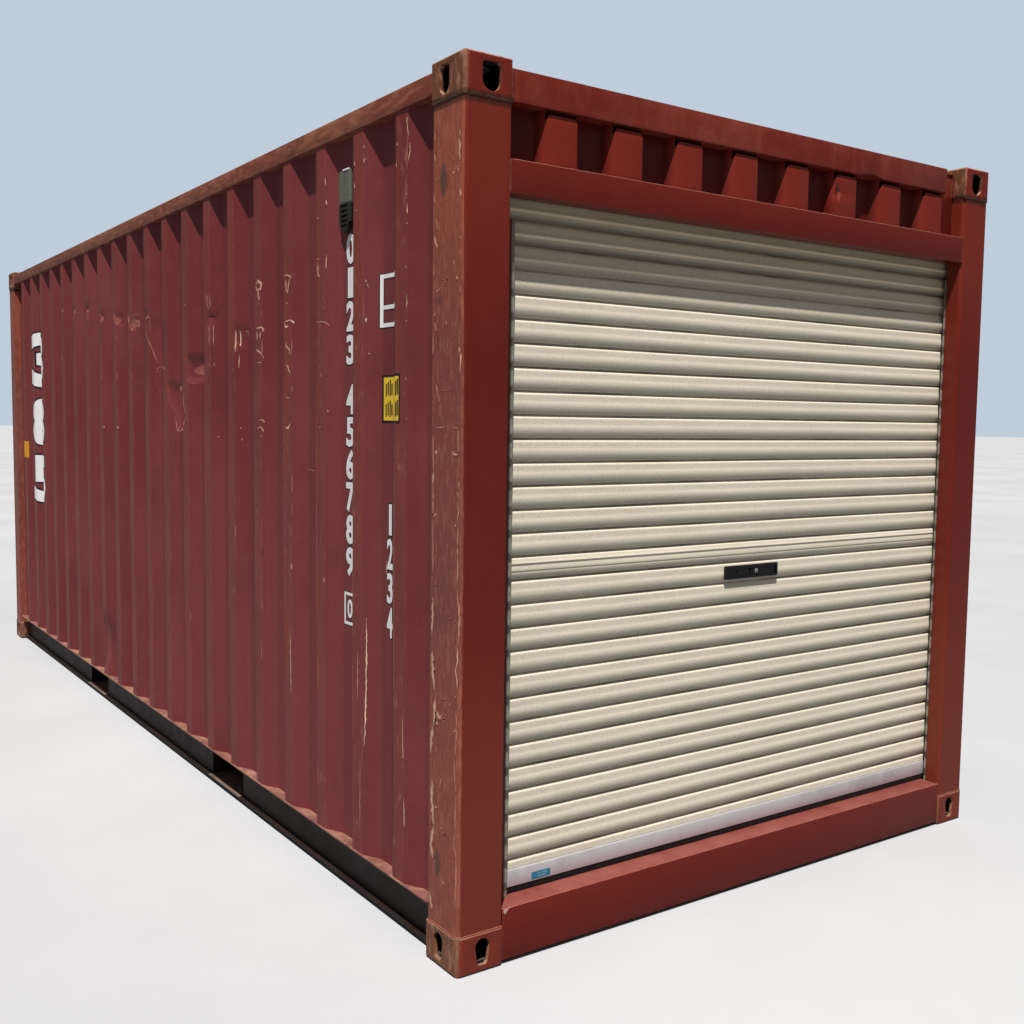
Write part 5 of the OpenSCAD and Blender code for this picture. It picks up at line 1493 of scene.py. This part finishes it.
# Worn lines of the left front post in millimetres: kind, width, then x and z of each corner
POST_WEAR = [
    (2, 11.7, 2873, 2396, 2870, 2374), (4, 14.4, 2869, 2343, 2871, 2317), (2, 10.2, 2873, 2274, 2887, 2261),
    (2, 11.7, 2866, 2235, 2871, 2201), (2, 11.7, 2882, 2162, 2887, 2126),
    (4, 13.95, 2872, 2113, 2875, 2097, 2891, 2077), (2, 11.85, 2866, 2043, 2873, 1999),
    (2, 9.45, 2910, 1966, 2881, 1953), (1, 8.25, 2938, 2054, 2930, 2024, 2921, 1994),
    (1, 7.95, 3002, 2449, 3002, 2397), (4, 13.35, 3002, 2382, 3002, 2361), (4, 13.5, 3002, 2359, 3001, 2298),
    (2, 10.95, 3001, 2285, 3002, 2279), (4, 12.45, 3005, 2224, 3007, 2201), (1, 7.95, 2995, 2176, 2996, 2133),
    (2, 6.75, 3003, 2096, 3016, 2087), (1, 6.45, 3008, 2077, 3009, 1985), (4, 13.65, 2993, 1991, 2994, 1979),
    (2, 6.6, 3013, 1964, 3011, 1942), (2, 10.95, 2976, 2035, 2981, 2023), (2, 11.4, 2932, 1985, 2934, 1977),
    (1, 7.05, 2945, 2325, 2972, 2301), (4, 13.35, 2968, 2275, 2972, 2267), (2, 10.65, 2990, 2287, 3000, 2268),
    (1, 4.35, 2909, 1991, 2928, 1985, 2947, 1988), (2, 11.85, 2878, 1902, 2875, 1885),
    (2, 11.4, 2938, 1873, 2938, 1858), (2, 11.7, 2875, 1872, 2886, 1844), (2, 11.85, 2869, 1834, 2867, 1780),
    (1, 8.7, 2875, 1779, 2872, 1700, 2871, 1610), (2, 11.7, 2884, 1703, 2905, 1643),
    (1, 4.35, 2905, 1677, 2983, 1679), (2, 6, 2876, 1574, 2939, 1575), (2, 6, 2982, 1573, 3010, 1574),
    (4, 13.5, 2997, 1574, 2998, 1571), (4, 11.25, 3008, 1797, 3008, 1780),
    (4, 7.8, 3014, 1780, 3014, 1757, 3012, 1724), (1, 6.45, 3008, 1711, 3009, 1577),
    (2, 10.35, 3005, 1574, 3008, 1530, 3006, 1500), (4, 9.6, 2976, 1509, 2986, 1501, 3006, 1500),
    (4, 14.1, 2884, 1510, 2893, 1496), (2, 12, 2871, 1558, 2876, 1447), (4, 14.7, 2876, 1447, 2874, 1408),
    (2, 12, 2872, 1408, 2874, 1366), (1, 5.1, 3012, 1496, 3011, 1429), (2, 7.35, 3013, 1429, 3009, 1405),
    (2, 8.7, 3007, 1402, 3011, 1375), (1, 8.25, 2942, 1837, 2946, 1790), (2, 12, 2873, 1366, 2874, 1324),
    (4, 10.35, 2875, 1320, 2895, 1329), (2, 12, 2873, 1317, 2874, 1271, 2876, 1183, 2877, 1151),
    (1, 4.8, 2873, 1122, 2902, 1122), (4, 14.85, 2878, 1084, 2877, 1059, 2875, 1005, 2874, 969),
    (4, 24.15, 2876, 926, 2876, 894, 2881, 863, 2885, 838, 2884, 813), (2, 6.3, 2878, 894, 2888, 896),
    (2, 6.6, 2885, 867, 2904, 869), (2, 11.85, 2911, 1074, 2911, 1071), (2, 11.4, 2973, 1035, 2974, 1032),
    (2, 11.7, 2936, 884, 2936, 880), (2, 11.85, 2904, 910, 2904, 906), (2, 10.05, 3008, 1375, 3010, 1337, 3004, 1305),
    (4, 7.5, 2992, 1302, 3004, 1304), (2, 8.55, 3010, 1302, 3008, 1242), (4, 10.8, 3008, 1242, 3009, 1222),
    (2, 9.3, 3008, 1222, 3010, 1170, 3007, 1134),
    (2, 7.95, 3007, 1134, 3012, 1092, 3015, 1068, 3018, 1034, 3016, 1010, 3012, 961),
    (4, 8.85, 3012, 961, 3012, 923, 3005, 894, 3011, 867, 3010, 839), (1, 7.65, 2889, 1039, 2903, 1031),
    (4, 24.15, 2895, 790, 2892, 752, 2884, 708), (4, 21.3, 2900, 754, 2912, 742, 2928, 737),
    (4, 19.2, 2912, 719, 2892, 725), (2, 11.7, 2943, 741, 2944, 737), (2, 11.7, 2942, 796, 2943, 792),
    (4, 24.3, 2880, 707, 2875, 664, 2871, 621), (2, 12, 2901, 650, 2900, 633), (1, 9, 2865, 620, 2867, 540),
    (4, 24.3, 2883, 544, 2879, 517, 2880, 475, 2887, 435, 2890, 411), (2, 11.85, 2930, 565, 2923, 530),
    (4, 11.55, 2896, 472, 2912, 469), (4, 24.45, 2890, 411, 2881, 369, 2877, 347, 2886, 311),
    (1, 9, 2870, 302, 2864, 213), (4, 24.6, 2864, 213, 2874, 187, 2882, 153), (4, 14.55, 2932, 417, 2933, 413),
    (2, 12, 2905, 405, 2906, 401), (2, 11.7, 2952, 403, 2953, 399), (2, 7.05, 2974, 466, 2986, 467),
    (2, 11.7, 2959, 384, 2960, 380), (1, 6.3, 2913, 405, 2960, 403, 2992, 399), (2, 7.8, 3007, 778, 3012, 730),
    (2, 9.15, 3012, 730, 3010, 693, 3002, 642), (2, 9.45, 3002, 642, 3005, 578, 3012, 539),
    (2, 8.1, 3012, 539, 3009, 472, 3007, 430), (2, 7.65, 3007, 430, 3003, 388, 3014, 354),
    (2, 6.9, 3014, 354, 3013, 267, 3010, 201), (4, 7.65, 2995, 717, 3010, 722), (2, 9.45, 2931, 259, 2956, 255),
    (1, 8.4, 2984, 348, 2982, 306), (2, 10.65, 3003, 821, 3007, 814), (1, 3.45, 3020, 804, 3014, 763),
    (2, 9.9, 2981, 796, 2969, 786),
]

# Spots of the left front post in millimetres: kind, x, z, width, height
POST_SPOTS = [
    (6, 2919, 2258, 44, 112), (6, 2914, 306, 36, 104), (6, 2902, 1933, 26, 22), (6, 2894, 1816, 8, 50),
    (2, 2911, 1072, 8, 10), (2, 2973, 1034, 9, 10), (2, 2943, 739, 10, 14), (2, 2942, 794, 9, 12),
]


class CONTAINER_OT_post_wear(FinishBase, bpy.types.Operator):
    """Left front post: its rolled edge, the scuffs along its bends and its two dull ovals"""
    bl_idname = "container.post_wear"
    bl_label = "Post wear"

    def execute(self, context):
        post = copy_node("post_left_dressed", "post_front_left")
        for v in post.data.vertices:
            if v.co.x < POST[0].x + 0.030:
                v.co.x -= POST_REACH
            elif v.co.x > POST[1].x - POST_BEND and v.co.y > POST[1].y - POST_BEND:
                tight = 0.25
                v.co.x = POST[1].x - (POST[1].x - v.co.x) * tight
                v.co.y = POST[1].y - (POST[1].y - v.co.y) * tight
        smooth(post, 32)
        settle(post, "post", "front_paint", "post_front_left")
        marks = Strokes(11)
        marks.table(POST_WEAR)
        marks.spots(POST_SPOTS, 18)
        piece = marks.build("post_scuffs")
        for v in piece.data.vertices:
            v.co.y = post_y(v.co.x) - 0.0002
        modify(piece, "SOLIDIFY", thickness=0.0003, offset=1.0)
        smooth(piece, 40)
        settle(piece, "post", "front_paint")
        return {"FINISHED"}


# Middle of the lock's key barrel
LOCK_BARREL = (2.9545, 0.045, 1.088)


def end_panel(x, low_y, high_y, low_z, high_z):
    """Corners of an upright rectangle that looks along the container's length"""
    return [(x, low_y, low_z), (x, high_y, low_z), (x, high_y, high_z), (x, low_y, high_z)]


class CONTAINER_OT_door_details(FinishBase, bpy.types.Operator):
    """Key barrel of the lock and the small blank label of the bottom bar"""
    bl_idname = "container.door_details"
    bl_label = "Door details"

    def execute(self, context):
        barrel = start("lock_barrel", "cylinder", LOCK_BARREL, turn=(0, math.radians(90), 0), radius=0.0075,
                       depth=0.003, vertices=24)
        roll_edges(barrel, 0.0006, 2, 50)
        # The key slot is a thin dark block: painted shade in the slot
        slot = start("slot", "cube", (LOCK_BARREL[0] + 0.0017, *LOCK_BARREL[1:]), (0.0004, 0.0008, 0.0040))
        slot.data.materials.append(FINISHES["painted_shading"])
        barrel.data.materials.append(FINISHES["brass"])
        barrel = merge("lock_barrel", [barrel, slot])
        smooth(barrel, 40)
        settle(barrel, None, "black_plastic")

        chip = ((-1.055, 0.160), (-1.048, 0.150), (-1.034, 0.166), (-1.018, 0.1665), (-1.030, 0.1670),
                (-1.050, 0.1670))
        plate("sill_chip", [[(SILL[1].x + 0.0003, y, z) for y, z in chip]], 0.0004, "pale", "front_paint")
        trim = bead("vent_sealant", random.Random(5), [(VENT[1].x - back, VENT[0].y + 0.001, VENT[1].z)
                                                       for back in (0.048, 0.004)], 0.0030, 0.15)
        smooth(trim, 60)
        settle(trim, "white", "vent_plastic")
        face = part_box("bottom_bar")[1].x
        plate("bar_label", [end_panel(face + 0.0002, -0.899, -0.827, 0.1945, 0.2175)], 0.0003, "blue",
              "bar_aluminium")
        plate("bar_label_lines", [end_panel(face + 0.0005, -0.876, -0.840, 0.2085, 0.2120),
                                  end_panel(face + 0.0005, -0.876, -0.846, 0.2005, 0.2040)],
              0.0002, "pale_blue", "bar_aluminium")
        return {"FINISHED"}


def bead(name, rng, points, radius, lumps=0.35):
    """An uneven round bead along a line of points"""
    curve = bpy.data.curves.new(name, "CURVE")
    curve.dimensions = "3D"
    curve.bevel_depth = radius
    curve.bevel_resolution = 1
    curve.use_fill_caps = True
    dense = []
    for a, b in zip(points, points[1:]):
        a, b = Vector(a), Vector(b)
        steps = max(2, int((b - a).length / (radius * 2.2)))
        dense += [a.lerp(b, i / steps) for i in range(steps)]
    dense.append(Vector(points[-1]))
    spline = curve.splines.new("POLY")
    spline.points.add(len(dense) - 1)
    for point, place in zip(spline.points, dense):
        point.co = (*place, 1)
        point.radius = rng.uniform(1 - lumps, 1 + lumps)
    hold(show(name, curve))
    bpy.ops.object.convert(target="MESH")
    return bpy.context.object


class CONTAINER_OT_welds(FinishBase, bpy.types.Operator):
    """Weld beads round the posts' ends and along the header, lintel and sill"""
    bl_idname = "container.welds"
    bl_label = "Weld beads"

    def execute(self, context):
        rng = random.Random(3)
        low, high = POST
        side = abs(low.y)
        upper, lower, seams = [], [], []
        for sx in (-1, 1):
            inner = side - (POST_FACE if sx > 0 else REAR_POST_FACE)
            for sy in (-1, 1):
                for z, group in ((CASTING_SIZE.z, lower), (HEIGHT - CASTING_SIZE.z, upper)):
                    turn = [(sx * (high.x - POST_BEND * (1 - math.sin(a))),
                             sy * (side - POST_BEND * (1 - math.cos(a))), z)
                            for a in (math.radians(90 - 22.5 * k) for k in range(5))]
                    way = [(sx * high.x, sy * inner, z), *turn, (sx * low.x, sy * side, z)]
                    group.append(bead("bead", rng, way, 0.0022))
        inner = side - POST_FACE
        for sy in (-1, 1):
            bent = 0.044 if sy > 0 else 0.0
            for x, y, part, short, radius in (
                    (HEADER[1].x - bent - 0.001, HALF_W - CASTING_SIZE.y, HEADER, 0.004, 0.0036),
                    (high.x - 0.004, inner, LINTEL, 0.0, 0.0055), (high.x - 0.008, inner - 0.001, SILL, 0.0, 0.0032)):
                way = [(x, sy * y, part[0].z + short), (x, sy * y, part[1].z - short)]
                seams.append(bead("bead", rng, way, radius))
        for group, x, z, short, radius in (
                (lower, LINTEL[1].x - 0.0022, LINTEL[1].z - 0.0005, 0.008, 0.0022),
                (seams, LINTEL[1].x - 0.056, LINTEL[1].z, 0.010, 0.003)):
            group.append(bead("bead", rng, [(x, LINTEL[0].y + short, z), (x, LINTEL[1].y - short, z)], radius))
        # The beads over the lower castings and along the lintel's top edge are pale: weld with a painted highlight;
        # the beads under the top castings are dark: weld in painted shade
        for name, beads, finish in (("weld_beads", seams, "weld"), ("weld_beads_low", lower, "weld_and_highlight"),
                                    ("weld_beads_high", upper, "weld_and_shade")):
            piece = merge(name, beads)
            smooth(piece, 60)
            settle(piece, finish, "front_paint")
        return {"FINISHED"}


# Camera of the photograph: where it stands, where it looks, and which way is up in the picture
CAMERA_PLACE = (5.6322, -2.8576, 1.5935)
CAMERA_AHEAD = (-0.818, 0.5695, -0.0807)
CAMERA_UP = (-0.0736, 0.0355, 0.9967)


class CONTAINER_OT_stage(FinishBase, bpy.types.Operator):
    """Pale floor, key and fill lamps, and the camera of the photograph"""
    bl_idname = "container.stage"
    bl_label = "Stage"

    def execute(self, context):
        scene = context.scene
        box = scene.container_stage
        floor = start("stage_floor", "grid", (0, 0, -0.001), (180, 180, 1), x_subdivisions=2, y_subdivisions=2)
        f = Finish("Pale floor")
        cloud = f.rise(f.noise(f.position, 0.35, 5, 0.6), 0.3, 0.7)
        fine = f.noise(f.position, 30.0, 4, 0.6)
        colour = f.mix(cloud, (0.56, 0.575, 0.60, 1.0), (0.63, 0.645, 0.67, 1.0))
        seen = f.add("ShaderNodeLightPath").outputs["Is Camera Ray"]
        colour = f.mix(f.rise(seen, 0, 1, box.floor_glow, 1.0), (0.0, 0.0, 0.0, 1.0), colour)
        floor.data.materials.append(f.finish(colour, f.rise(fine, 0.2, 0.8, 0.75, 0.9), fine, 0.15, 0.002))
        floor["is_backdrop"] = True

        world = scene.world or bpy.data.worlds.new("Studio")
        scene.world = world
        world.use_nodes = True
        sky = Wiring(world.node_tree)
        sky.tree.nodes.clear()
        fill = sky.add("ShaderNodeBackground", {"Color": (0.84, 0.90, 1.0, 1.0), "Strength": box.fill_power})
        drop = sky.add("ShaderNodeBackground", {"Color": (0.52, 0.61, 0.70, 1.0), "Strength": 1.0})
        seen = sky.add("ShaderNodeLightPath").outputs["Is Camera Ray"]
        both = sky.add("ShaderNodeMixShader", {0: seen, 1: fill.outputs[0], 2: drop.outputs[0]})
        sky.add("ShaderNodeOutputWorld", {"Surface": both.outputs[0]})

        lamp = bpy.data.lights.new("Key", "SUN")
        lamp.energy = box.sun_power
        lamp.angle = math.radians(1.2)
        lamp.color = (1.0, 0.965, 0.92)
        key = show("Key", lamp)
        way = Vector((math.cos(box.sun_height) * math.cos(box.sun_turn),
                      -math.cos(box.sun_height) * math.sin(box.sun_turn), math.sin(box.sun_height)))
        key.rotation_euler = way.to_track_quat("Z", "Y").to_euler()

        view = bpy.data.cameras.new("Camera")
        view.lens = box.lens
        view.sensor_width = 36
        view.clip_end = 400
        camera = show("Camera", view)
        ahead = Vector(CAMERA_AHEAD).normalized()
        right = ahead.cross(Vector(CAMERA_UP)).normalized()
        up = right.cross(ahead).normalized()
        turn = Matrix((right, up, -ahead)).transposed()
        camera.matrix_world = Matrix.Translation(CAMERA_PLACE) @ turn.to_4x4()
        scene.camera = camera
        scene.view_settings.view_transform = "Standard"
        return {"FINISHED"}


OPERATORS = (
    CONTAINER_OT_finishes, CONTAINER_OT_left_wall, CONTAINER_OT_marks, CONTAINER_OT_scratches, CONTAINER_OT_curtain,
    CONTAINER_OT_soft_edges, CONTAINER_OT_header, CONTAINER_OT_strip, CONTAINER_OT_post_wear,
    CONTAINER_OT_door_details, CONTAINER_OT_welds, CONTAINER_OT_stage,
)


class CONTAINER_PT_finisher(bpy.types.Panel):
    """Lists the steps and their sizes"""
    bl_idname = "CONTAINER_PT_finisher"
    bl_label = "Container finisher"
    bl_space_type = "VIEW_3D"
    bl_region_type = "UI"
    bl_category = "Container"

    def draw(self, context):
        layout = self.layout
        scene = context.scene
        for box in (scene.container_paint, scene.container_wear, scene.container_stage):
            column = layout.column(align=True)
            for name in box.__annotations__:
                column.prop(box, name)
        for operator in OPERATORS:
            layout.operator(operator.bl_idname)


CLASSES = (ContainerPaint, ContainerWear, ContainerStage, *OPERATORS, CONTAINER_PT_finisher)


def register():
    for cls in CLASSES:
        bpy.utils.register_class(cls)
    bpy.types.Scene.container_paint = bpy.props.PointerProperty(type=ContainerPaint)
    bpy.types.Scene.container_wear = bpy.props.PointerProperty(type=ContainerWear)
    bpy.types.Scene.container_stage = bpy.props.PointerProperty(type=ContainerStage)


def unregister():
    del bpy.types.Scene.container_paint
    del bpy.types.Scene.container_wear
    del bpy.types.Scene.container_stage
    for cls in reversed(CLASSES):
        bpy.utils.unregister_class(cls)


def main():
    register()
    for operator in OPERATORS:
        group, name = operator.bl_idname.split(".")
        if getattr(getattr(bpy.ops, group), name)() != {"FINISHED"}:
            raise RuntimeError(operator.bl_label)
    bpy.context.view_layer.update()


if __name__ == "__main__":
    main()
